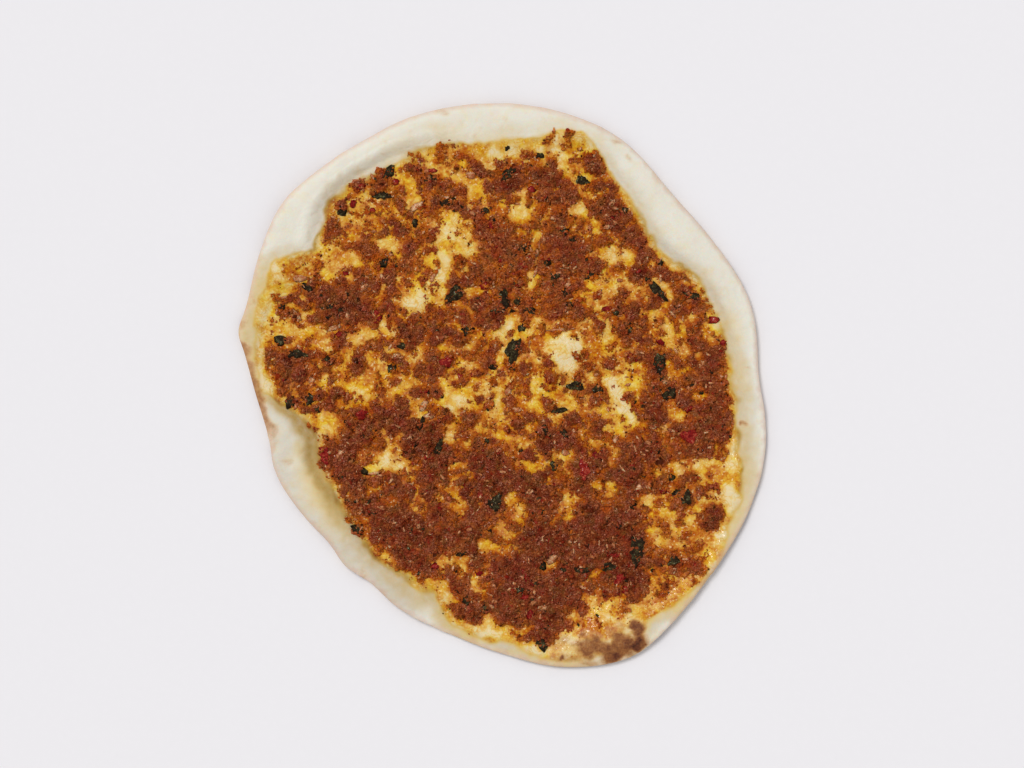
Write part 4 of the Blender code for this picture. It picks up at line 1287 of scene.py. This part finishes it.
# %% [markdown]
# ## The finish of the meat
#
# One finish serves the bed and every grain. The noted tone picks a brown, and noise of several sizes
# then adds what cooks out of mince: spice, blood, grey fat and herbs too small to see, with a painted
# sheen of pale highlights. Each grain also has a number of its own, from 0 to 1, which makes a few of
# them pale tan (fat, with painted glints), charred or red.

# %% Meat material
SPICED = seen(196, 72, 20)
GREYED = seen(154, 88, 68)
BLOODY = seen(150, 48, 30)
OLIVE = seen(140, 96, 44)


def mince_finish():
    """Browned mince, from nearly black to the yellow of soaked crumbs."""
    look = Finish("minced_meat_skin", coat_roughness=0.12, specular_ior_level=0.03)
    fine = look.noise(0.8 * MM, detail=3, roughness=0.65)
    mottle = look.noise(2.6 * MM, detail=3)
    shade = look.attribute("shade") + (mottle - 0.5) * 0.55 + (fine - 0.5) * 0.1
    colour = look.ramp(
        shade, (0.05, 110, 36, 16), (0.22, 144, 66, 32), (0.38, 172, 92, 50), (0.52, 192, 104, 46),
        (0.66, 212, 108, 26), (0.82, 230, 142, 38), (1, 248, 192, 88),
    )
    greyed = (1 - look.attribute("shade")).steep(0.4, 0.7) * 0.6
    colour = look.clouded(colour, SPICED, 0.45, 7 * MM, 0.5, 0.64)
    colour = look.clouded(colour, GREYED, greyed, 7 * MM, 0.5, 0.7, detail=2, distortion=0.4)
    colour = look.clouded(colour, BLOODY, 0.55, 3.4 * MM, 0.5, 0.64, detail=2, distortion=0.6)
    colour = look.clouded(colour, OLIVE, 0.5, 4.2 * MM, 0.54, 0.66, detail=2, distortion=0.6)
    # A painted sheen: pale pinkish highlights on the high spots
    painted_sheen = fine.steep(0.5, 0.72) * look.noise(5 * MM, detail=3).steep(0.42, 0.62)
    colour = look.blend(painted_sheen * 0.7, colour, seen(222, 164, 138))
    kind = look.attribute("kind")
    # A few grains painted pale tan, partly fat and partly painted glints
    colour = look.blend(kind.steep(0.96, 0.98) * 0.45, colour, seen(214, 150, 100))
    colour = look.blend((1 - kind).steep(0.965, 0.975) * 0.8, colour, seen(66, 26, 10))
    chilli = kind.steep(0.45, 0.455) * (1 - kind.steep(0.475, 0.48))
    colour = look.blend(chilli * 0.7, colour, seen(156, 22, 14))
    dim = (fine - 0.5) * 1.5 + (kind - 0.5) * 0.35 + 0.5
    dimmed = look.ramp(dim, (0, 152, 132, 104), (1, 255, 255, 255))
    colour = look.blend(1, colour, dimmed, "MULTIPLY")
    wet = look.noise(1.6 * MM, detail=1).steep(0.62, 0.72)
    look.to(
        base_color=colour,
        roughness=0.7 - wet * 0.35,
        coat_weight=wet * 0.35,
        normal=look.bump(fine, 0.25 * MM, 0.6),
    )
    return look.material


# %% Put the finish on the bed
meat_look = mince_finish()
corners = points_of(meat_bed)
note(meat_bed, "shade", at_places(tone, corners[:, 0], corners[:, 1]) - 0.06)
note(meat_bed, "kind", np.full(len(corners), 0.6))
print("tone noted at", len(corners), "corners of the bed")
meat_bed.data.materials.append(meat_look)
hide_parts("meat_topping")
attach(meat_bed, "root")

# %% [markdown]
# ## Grains of mince
#
# A grain is modelled once, from a sphere of twenty faces pulled out of shape. Smaller bits come
# from a crumb of sixteen faces, and the finest from a three-sided chip of eight. Copies are then
# joined into one mesh: an array of places, sizes and turns multiplies the model's corners, which
# takes a moment where thousands of objects would take minutes. Each kind of grain is its own piece.

# %% Model a grain, a crumb and a chip


def model_of(piece):
    """The corners and faces of a piece as arrays. The piece itself goes."""
    model = (points_of(piece), np.array([face.vertices[:] for face in piece.data.polygons]))
    bpy.data.objects.remove(piece)
    return model


def squashed(piece, shares):
    """Scales the corners of a new piece, as a hand flattens a pellet."""
    bpy.ops.object.mode_set(mode="EDIT")
    bpy.ops.mesh.select_all(action="SELECT")
    bpy.ops.mesh.quads_convert_to_tris()
    bpy.ops.transform.resize(value=shares)
    bpy.ops.object.mode_set(mode="OBJECT")
    return piece


bpy.ops.mesh.primitive_ico_sphere_add(subdivisions=1, radius=1, location=(0, 0, 0))
GRAIN = model_of(squashed(named("grain_model"), (1, 0.82, 0.74)))
bpy.ops.mesh.primitive_uv_sphere_add(segments=4, ring_count=3, radius=1.15, location=(0, 0, 0))
CRUMB = model_of(squashed(named("crumb_model"), (1, 0.85, 0.8)))
bpy.ops.mesh.primitive_cylinder_add(vertices=3, radius=1.25, depth=1.7, location=(0, 0, 0))
CHIP = model_of(squashed(named("chip_model"), (1, 0.9, 0.85)))
print("a grain has", len(GRAIN[1]), "faces, a crumb", len(CRUMB[1]), "and a chip", len(CHIP[1]))

# %% Join copies into one mesh


def random_turns(chance, count):
    """Rotation matrices, all directions alike."""
    q = chance.normal(size=(count, 4))
    q /= np.linalg.norm(q, axis=1)[:, None]
    w, x, y, z = q.T
    rows = [
        [1 - 2 * (y * y + z * z), 2 * (x * y - z * w), 2 * (x * z + y * w)],
        [2 * (x * y + z * w), 1 - 2 * (x * x + z * z), 2 * (y * z - x * w)],
        [2 * (x * z - y * w), 2 * (y * z + x * w), 1 - 2 * (x * x + y * y)],
    ]
    return np.array(rows).transpose(2, 0, 1)


def joined_copies(name, model, places, sizes, turns, uneven, chance, smooth=True):
    """One mesh of copies of the model. sizes holds three half sizes for each copy."""
    corners, faces = model
    count = len(places)
    reach = 1 + uneven * chance.uniform(-1, 1, (count, len(corners), 1))
    shaped = corners[None] * reach * sizes[:, None, :]
    placed = np.einsum("nij,nkj->nki", turns, shaped) + places[:, None, :]
    offsets = np.arange(count)[:, None, None] * len(corners)
    copied_faces = (faces[None] + offsets).reshape(-1, faces.shape[1])
    data = bpy.data.meshes.new(name)
    data.from_pydata(kept_in(placed.reshape(-1, 3)), [], copied_faces)
    piece = bpy.data.objects.new(name, data)
    bpy.context.scene.collection.objects.link(piece)
    if smooth:
        data.shade_smooth()
    return piece


# %% Draw places by chance
REACH = 145 * MM


def scattered_places(chance, count, likely):
    """Places drawn by chance, kept by how likely the map says they are."""
    found_x, found_y = [], []
    while sum(map(len, found_x)) < count:
        x, y = chance.uniform(-REACH, REACH, (2, 4 * count))
        kept = chance.uniform(0, 1, 4 * count) < at_places(likely, x, y)
        found_x.append(x[kept])
        found_y.append(y[kept])
    return np.concatenate(found_x)[:count], np.concatenate(found_y)[:count]


surface = np.maximum(bed, dough_heights)
on_meat = eased((cover - 0.4) / 0.2) * eased((soak - 0.2) / 0.3)
crumb_likely = eased((cover - 0.2) / 0.3) * (1 - on_meat) * soak
lump_likely = eased((cover - 0.6) / 0.3)
print("grains may lie on", square_cm(on_meat), "square cm")

# %% Scatter the grains
SMALLEST = 0.5
LARGEST = 2.1
SHADE_VARIES = 0.06
LIGHTEST = 0.7


def grains(name, model, count, likely, half, slim, seed, sink=0.25, lighter=0, uneven=0.22):
    """A piece of this many grains. half holds the typical half size and how widely it varies."""
    chance = np.random.default_rng(seed)
    x, y = scattered_places(chance, count, likely)
    size = half[0] * np.exp(half[1] * chance.normal(size=count))
    size = np.clip(size, SMALLEST * half[0], LARGEST * half[0])
    sizes = size[:, None] * chance.uniform((1, slim, slim * 0.9), (1.25, 1, 1), (count, 3))
    height = at_places(surface, x, y) + size * (0.7 - 2 * sink)
    places = np.column_stack((x, y, height))
    turns = random_turns(chance, count)
    piece = joined_copies(name, model, places, sizes, turns, uneven, chance, smooth=False)
    shade = np.minimum(at_places(tone, x, y), LIGHTEST) + SHADE_VARIES * chance.normal(size=count)
    note(piece, "shade", np.repeat(shade + lighter, len(model[0])))
    note(piece, "kind", np.repeat(chance.uniform(0, 1, count), len(model[0])))
    piece.data.materials.append(meat_look)
    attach(piece, "root")
    print(name, count, "grains")


grains("mince_grains_fine", CHIP, 24000, on_meat, (0.48 * MM, 0.25), 0.7, 40)
grains("mince_grains", GRAIN, 9800, on_meat, (0.6 * MM, 0.25), 0.6, 41, uneven=0.3)
grains("mince_shreds", CRUMB, 12200, on_meat, (0.75 * MM, 0.3), 0.45, 42)
grains("mince_lumps", GRAIN, 2600, lump_likely, (1.15 * MM, 0.3), 0.7, 43, sink=0.5, uneven=0.35)
grains("oily_crumbs", CRUMB, 5000, crumb_likely, (0.42 * MM, 0.4), 0.7, 44, lighter=-0.04)

# %% [markdown]
# ## Leaves
#
# The parsley went into the oven on top of the meat, so it came out nearly black, shrunken and folded,
# with a grey-green sheen painted into the lightest clouds of its colour. Each leaf is a grid bent into a
# lobed oval, as long and wide and turned as the measured leaf. It is creased like wet cloth, rests on
# what lies below it and gets its thickness from Solidify. The flat strips of pepper are made by the same
# function further down.

# %% How a measured leaf lies


def laid_out(node):
    """Middle, half length, half width and direction of a flat measured piece, as seen from above."""
    corners = points_of(nodes[node])[:, :2]
    middle = corners.mean(axis=0)
    along = np.linalg.eigh(np.cov((corners - middle).T))[1][:, 1]
    axes = np.array([along, (-along[1], along[0])])
    spread = (corners - middle) @ axes.T
    low, high = spread.min(axis=0), spread.max(axis=0)
    return middle + (low + high) / 2 @ axes, (high - low) / 2, axes


# %% Shape a leaf
SHEET_CELLS = 22
SHEET_LIFT = 0.75 * MM

resting = blurred(surface, 0.8 * MM)


def crumpled_sheet(node, name, seed, lobed, fold, thickness):
    """A crumpled leaf or skin in the place of a measured one."""
    chance = np.random.default_rng(seed)
    middle, half, axes = laid_out(node)
    bpy.ops.mesh.primitive_grid_add(x_subdivisions=SHEET_CELLS, y_subdivisions=SHEET_CELLS, size=2)
    piece = named(name)
    square = points_of(piece)
    u = square[:, 0] * np.sqrt(1 - square[:, 1] ** 2 / 2)
    v = square[:, 1] * np.sqrt(1 - square[:, 0] ** 2 / 2)
    angle = np.arctan2(v, u)
    phase = chance.uniform(0, 6.3, 4)
    lobes = 0.1 * np.cos(2 * angle + phase[3]) + 0.14 * np.cos(3 * angle + phase[0])
    lobes = lobes + 0.1 * np.cos(5 * angle + phase[1]) + 0.06 * np.cos(11 * angle + phase[2])
    reach = 0.92 + lobed * lobes * np.hypot(u, v)
    flat = np.column_stack((u * reach * half[0], v * reach * half[1]))
    wrinkle = 1 - 2 * np.abs(clouds(flat[:, 0], flat[:, 1] * 1.5, 2.4 * MM, seed + 40))
    wrinkle = wrinkle + 0.5 * clouds(flat[:, 0], flat[:, 1], 1.2 * MM, seed + 80)
    x, y = (middle + flat @ axes).T
    rim = np.hypot(u, v) ** 4
    height = at_places(resting, x, y) + SHEET_LIFT * (1 - 0.5 * rim) + fold * wrinkle
    move_points(piece, np.column_stack((x, y, height)))
    apply_modifier(piece, "SOLIDIFY", thickness=thickness, offset=0)
    move_points(piece, points_of(piece))
    piece.data.shade_smooth()
    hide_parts(node)
    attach(piece, "root")
    return piece


# %% Leaves and their finish


def herb_finish():
    """Nearly black, with olive clouds and a painted grey-green sheen in the lightest ones, and a few wet
    glints.
    """
    look = Finish("baked_herb", coat_roughness=0.15, specular_ior_level=0.1)
    broad = look.noise(2.4 * MM, detail=3)
    fine = look.noise(0.6 * MM, detail=3)
    shade = broad + (fine - 0.5) * 0.6
    # The lightest stops are a painted sheen
    colour = look.ramp(
        shade, (0.3, 24, 14, 6), (0.48, 42, 28, 12), (0.6, 54, 46, 22), (0.72, 88, 84, 48),
        (0.85, 128, 116, 84),
    )
    glint = (fine * 0.6 + broad * 0.4).steep(0.56, 0.64)
    look.to(
        base_color=colour,
        roughness=0.7 - glint * 0.4,
        coat_weight=glint * 0.7,
        normal=look.bump(fine, 0.25 * MM, 0.8),
    )
    return look.material


herb_look = herb_finish()
for number, leaf_name in enumerate(leaf_names):
    leaf = crumpled_sheet(leaf_name, "baked_" + leaf_name, 200 + number, 1, 0.55 * MM, 0.28 * MM)
    leaf.data.materials.append(herb_look)
print("leaves", len(leaf_names))

# %% [markdown]
# ## Small flakes of herb, pepper and onion
#
# The cook chops herbs, red pepper and onion into the mince. The larger flakes are listed where they
# lie, each with its place, length, width and direction. The smallest ones are scattered by chance. All
# of a kind are copies of one small cushion, pressed down onto whatever lies below.

# %% Where the larger flakes lie
HERB_FLAKES = (
    (-117.4, 24, 6.4, 5, 20), (-90.9, 41.5, 4.6, 3.6, 0), (-101, 51.5, 4.4, 3.4, 60),
    (-102, -7.8, 6, 5, 80), (-112.1, -8.9, 6.4, 4.4, 60), (-92, 13.4, 7, 4.4, -20),
    (-63.9, 100.6, 9.6, 3.8, -5), (-59.8, 113, 7, 4.6, 60), (-37.4, 108.8, 6.8, 4.6, 10),
    (-28.6, 97.2, 9.6, 3.4, 8), (-8.7, 92.4, 4.4, 3, 0), (-84.6, 91.6, 4.6, 3.4, 0),
    (-62.4, 65.3, 8.6, 4.8, 20), (-17.8, 29.4, 6, 3.6, 0), (-18.6, 28, 3.6, 3.6, 0),
    (-52.7, 20.8, 5, 3, 0), (-58.6, 9.1, 5, 4, 60), (10.9, 30.3, 4.4, 3.6, 70), (-4.5, 9.7, 4, 3, 0),
    (8.7, 44.7, 4.6, 3.4, 45), (0, 39.4, 12, 3.6, 5), (15.2, 39.4, 6.6, 4, 10),
    (46.9, 58.4, 5.4, 3.8, 30), (33.7, 48.9, 4, 5, 60), (36, 43, 3, 4, 60), (68.1, 29.8, 3.2, 5.4, 0),
    (60.7, 38.3, 3, 3, 0), (31, -13.6, 8, 3, 8), (22.8, -23, 3, 6, 25), (25, -26.4, 5.6, 2.6, -20),
    (33, -25.4, 7, 3.4, -40), (27.8, -42.8, 3.4, 5, 0), (69.7, -63.5, 4.4, 3.2, 40),
    (89.4, -49.1, 5, 3.8, 0), (92.6, -57, 5, 2.8, 30), (32.6, -97.9, 4, 2.8, 0),
    (22, -95.8, 3.6, 4.6, 0), (-7.7, -29.5, 3.2, 2.6, 0), (-73, -45.6, 6, 3.2, -50),
    (-76.2, -76.8, 7, 3.6, -40), (-21.5, -89.4, 5, 2.8, 10), (-18.8, -114.4, 4.2, 3.6, -50),
    (-8.7, -118.6, 3.2, 3.8, 0), (10.3, -108.5, 5.4, 3.2, 10), (19.9, 121.5, 4.4, 3.2, 0),
    (100.5, 47.4, 10, 4, -12), (-97.3, -13.1, 3, 3.2, 0), (-42.7, -20.5, 7, 3.4, 70),
    (22, -137.7, 6.4, 4, 110), (-46, -31, 4, 3.4, 0), (63, -74.8, 4, 2.6, 0), (-68, -68, 3.4, 2.6, 0),
    (65.4, 93, 3, 3.4, 0), (84, 64.8, 4, 4, 0), (29, 57.5, 4.6, 3.2, 20), (24.5, 65.6, 3.4, 4.6, 0),
    (12, 72.6, 7, 3.2, 10), (38, 77.6, 4.2, 3, 0), (33, 81.6, 4.6, 4.6, 0), (3, 125.6, 2.8, 2, 40),
    (-45.8, 86, 3.2, 4, 0), (-104, 52.4, 4.6, 3, -30), (-116.4, 41.6, 3.4, 3, 0), (-85, 40, 3, 2.4, 0),
    (-92, 36, 3.4, 2.2, 30), (77.6, 56, 3, 2.4, 0), (106, -4, 2.6, 2.2, 0), (74.6, -11, 3, 2.4, 0),
    (19.4, -60.8, 3.4, 3, 0), (85.6, 3.2, 3, 2.6, 0), (18, -104.6, 3.6, 4, 0),
)
PEPPER_FLAKES = (
    (98.8, -12.4, 4.6, 3.8, 0), (85.4, -56, 4.4, 3.2, 0), (50.1, -37.8, 5.4, 4, -40),
    (15.2, -121.6, 5, 4.4, 30), (12.4, -112.4, 6, 3, 10), (66, -108, 4.6, 4, 60),
    (-56.4, 107.7, 3.8, 3.2, 0), (-75.1, 105.2, 6.4, 2.6, 28), (16.2, 104, 4.6, 3.2, 10),
    (-11.4, -58.7, 3.6, 4, 0), (-32.8, -64.6, 3, 4.2, 20), (-35.2, -96.3, 3.6, 4, 0),
    (-11.9, -99.5, 4, 3, 0), (-8.7, 52.6, 5.4, 3.6, 0), (8.7, 53.1, 3, 3, 0),
    (112.6, 34.6, 5.6, 3.6, 0), (117.6, 22.4, 4, 3, 60), (-41.8, -3.2, 6, 3, 0), (24.6, 3.2, 3, 6, 20),
    (69.4, -42, 3, 3, 0), (60.6, -90, 6.6, 2.6, 10), (13.6, -102, 11, 3, -52),
    (-65.6, 34.6, 6, 2.6, 50), (-66.4, 38.6, 2.8, 2.8, 0), (-78.6, 96.2, 3.4, 3.8, 0),
    (-36.6, 113.8, 5.4, 2.2, 5), (-105, 5, 3.6, 2.6, 40), (84.4, 23, 4.6, 3, -30),
    (72.8, 60.6, 4, 3, 60), (56, 40.6, 5, 2.8, 20), (67.6, 15.6, 4, 3.6, 0), (-82.6, 59.4, 3.6, 2.4, 0),
    (-86, 27, 4, 2.6, 20), (44, -39.6, 3, 4, 0), (99.8, -31, 4, 3, 0), (-15, 118.6, 3, 2.2, 0),
    (-6, 85, 5, 3, -50), (-20, 37.6, 4, 2.2, 10), (5.6, -117.6, 4, 3, 0), (-68.6, 93, 3, 2.2, 0),
    (-22, 5, 2.6, 3.6, 20), (29, -52.6, 3, 2.4, 0), (-95.4, -33.6, 3, 2.2, 0),
)
ONION_FLAKES = (
    (-16.4, 111.4, 5.4, 3.6, -20), (-88.6, 30.6, 8, 2.6, 20), (-106.6, 56.8, 7.4, 3.6, 10),
    (-73.4, 51.6, 6.4, 2.8, 40), (-45, 94.6, 8.6, 3.4, 30), (-60, 69.4, 6, 2.4, 0),
    (34, -35.8, 4.6, 3.2, 0), (26.6, -92.6, 7, 4, 30), (22, -118, 5.4, 3.2, 0),
    (-41, -10.6, 7, 3.4, 60), (-38.4, -16.4, 6, 3, 10), (87.4, 1.6, 4, 3, 0), (80.6, -22, 4.6, 2.8, 30),
    (106, 11.4, 4.6, 3, 60), (98, 51, 2.6, 2.2, 0), (-100.6, 2.6, 4, 3.2, 60), (-85.6, -37, 6, 4, 60),
    (-44, -74.6, 5, 2.6, 60), (60.6, -28.6, 5, 2.6, 60), (58.6, 96.6, 3.4, 2.8, 60),
    (55.6, 84, 4, 2.6, 0), (35.2, 53.6, 4.6, 2.8, 60), (19.4, 72.6, 9, 1.8, 80), (18, 60, 6, 1.8, 70),
    (73, -54.4, 4.6, 3.6, 60), (31.6, 29.4, 14, 1.6, 4), (-108.6, 37.6, 7, 2, -50),
    (-36.6, 57, 4, 2.6, 60), (-63, 57, 4.6, 2, -60), (8, -13, 5, 2.4, 0), (3.4, -3.4, 4, 3.4, 50),
    (-56, 15.6, 5.4, 2.6, 10), (-29, 99.6, 3, 1.8, 0), (-16, 91.6, 5, 2.2, -30),
    (90.8, 37.6, 5, 1.6, -50), (62.6, 55.6, 3, 2, 0), (27, 88.6, 3, 2, 0), (16, -56.6, 3.6, 2.2, 60),
    (-67.6, -46.8, 6, 1.8, 10), (-58.6, -50.6, 4, 1.8, 60),
)

# %% Model a flake and lay flakes out
bpy.ops.mesh.primitive_ico_sphere_add(subdivisions=2, radius=1, location=(0, 0, 0))
FLAKE = model_of(named("flake_model"))


def chance_flakes(chance, count, likely, lengths, slim=(0.35, 0.9)):
    """Places, sizes and directions of small flakes, as rows like those above."""
    x, y = scattered_places(chance, count, likely)
    length = chance.uniform(*lengths, count)
    width = length * chance.uniform(*slim, count)
    return np.column_stack((x / MM, y / MM, length, width, chance.uniform(0, 180, count)))


def flakes(name, listed, chance_rows, thickness, seed, look, uneven=0.3):
    """One piece of flattened flakes, each pressed onto what lies below it."""
    chance = np.random.default_rng(seed)
    rows = np.vstack((np.array(listed, float).reshape(-1, 5), chance_rows))
    count = len(rows)
    turn = np.radians(rows[:, 4])
    none = np.zeros(count)
    turns = np.array(
        [[np.cos(turn), -np.sin(turn), none], [np.sin(turn), np.cos(turn), none], [none, none, none + 1]]
    ).transpose(2, 0, 1)
    sizes = np.column_stack((rows[:, 2] / 2 * MM, rows[:, 3] / 2 * MM, np.full(count, thickness)))
    places = np.column_stack((rows[:, 0] * MM, rows[:, 1] * MM, none))
    piece = joined_copies(name, FLAKE, places, sizes, turns, uneven, chance)
    corners = points_of(piece)
    x, y = corners[:, 0], corners[:, 1]
    crumple = 0.3 * MM * clouds(x, y, 1.6 * MM, seed + 1)
    corners[:, 2] += at_places(resting, x, y) + 0.5 * thickness + crumple
    move_points(piece, corners)
    piece.data.materials.append(look)
    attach(piece, "root")
    print(name, count, "flakes")
    return piece


chance = np.random.default_rng(70)
herb_bits = chance_flakes(chance, 260, on_meat, (0.8, 2.6))
herb_flakes = flakes("herb_flakes", HERB_FLAKES, herb_bits, 0.45 * MM, 71, herb_look, uneven=0.45)

# %% [markdown]
# Pepper is glossy and dark crimson where it stayed wet. Onion went glassy and pale, with a touch of
# pink from the pepper, so it gets a little subsurface scattering.

# %% Pepper and onion


def pepper_finish():
    """Crimson, paler where it dried, with wet glints."""
    look = Finish(
        "roast_pepper", coat_roughness=0.12, specular_ior_level=0.1, subsurface_weight=0.1,
        subsurface_scale=0.001,
    )
    broad = look.noise(2.5 * MM)
    fine = look.noise(0.8 * MM)
    shade = broad + (fine - 0.5) * 0.9
    colour = look.ramp(
        shade, (0.25, 96, 8, 10), (0.5, 132, 20, 18), (0.65, 156, 50, 30), (0.85, 184, 92, 54)
    )
    glint = (fine * 0.5 + broad * 0.5).steep(0.54, 0.62)
    look.to(
        base_color=colour,
        roughness=0.6 - glint * 0.3,
        coat_weight=glint * 0.7,
        normal=look.bump(fine, 0.3 * MM, 0.7),
    )
    return look.material


def onion_finish():
    """Glassy, from the brown of the meat's juice to cream."""
    look = Finish(
        "glassy_onion", coat_roughness=0.2, specular_ior_level=0.1, subsurface_weight=0.35,
        subsurface_scale=0.0015,
    )
    broad = look.noise(2.5 * MM)
    fine = look.noise(0.8 * MM)
    shade = broad + (fine - 0.5) * 0.8
    colour = look.ramp(shade, (0.3, 158, 84, 44), (0.5, 186, 120, 76), (0.7, 212, 168, 126))
    look.to(
        base_color=colour,
        roughness=0.5 - broad * 0.1,
        coat_weight=broad * 0.3,
        normal=look.bump(fine, 0.3 * MM, 0.5),
    )
    return look.material


# %% Strips of pepper
pepper_look = pepper_finish()
onion_look = onion_finish()
for number, pepper_name in enumerate(pepper_names):
    strip = crumpled_sheet(pepper_name, "roast_" + pepper_name, 400 + number, 1.5, 0.35 * MM, 0.7 * MM)
    strip.data.materials.append(pepper_look)
print("strips of pepper", len(pepper_names))

# %% Flakes of pepper and onion
chance = np.random.default_rng(80)
pepper_bits = chance_flakes(chance, 120, on_meat, (0.9, 2.4))
red_flakes = flakes("pepper_flakes", PEPPER_FLAKES, pepper_bits, 0.4 * MM, 81, pepper_look, uneven=0.45)
onion_bits = chance_flakes(chance, 700, on_meat, (1, 4), (0.2, 0.5))
flakes("onion_flakes", ONION_FLAKES, onion_bits, 0.5 * MM, 84, onion_look)

# %% [markdown]
# ## Last numbers
#
# The reach of the measured shapes is printed, in millimetres, as a last number.

# %% The reach of the measured pieces
print("measured reach in mm", [round((top - base) / MM, 2) for base, top in zip(*cad_box)])
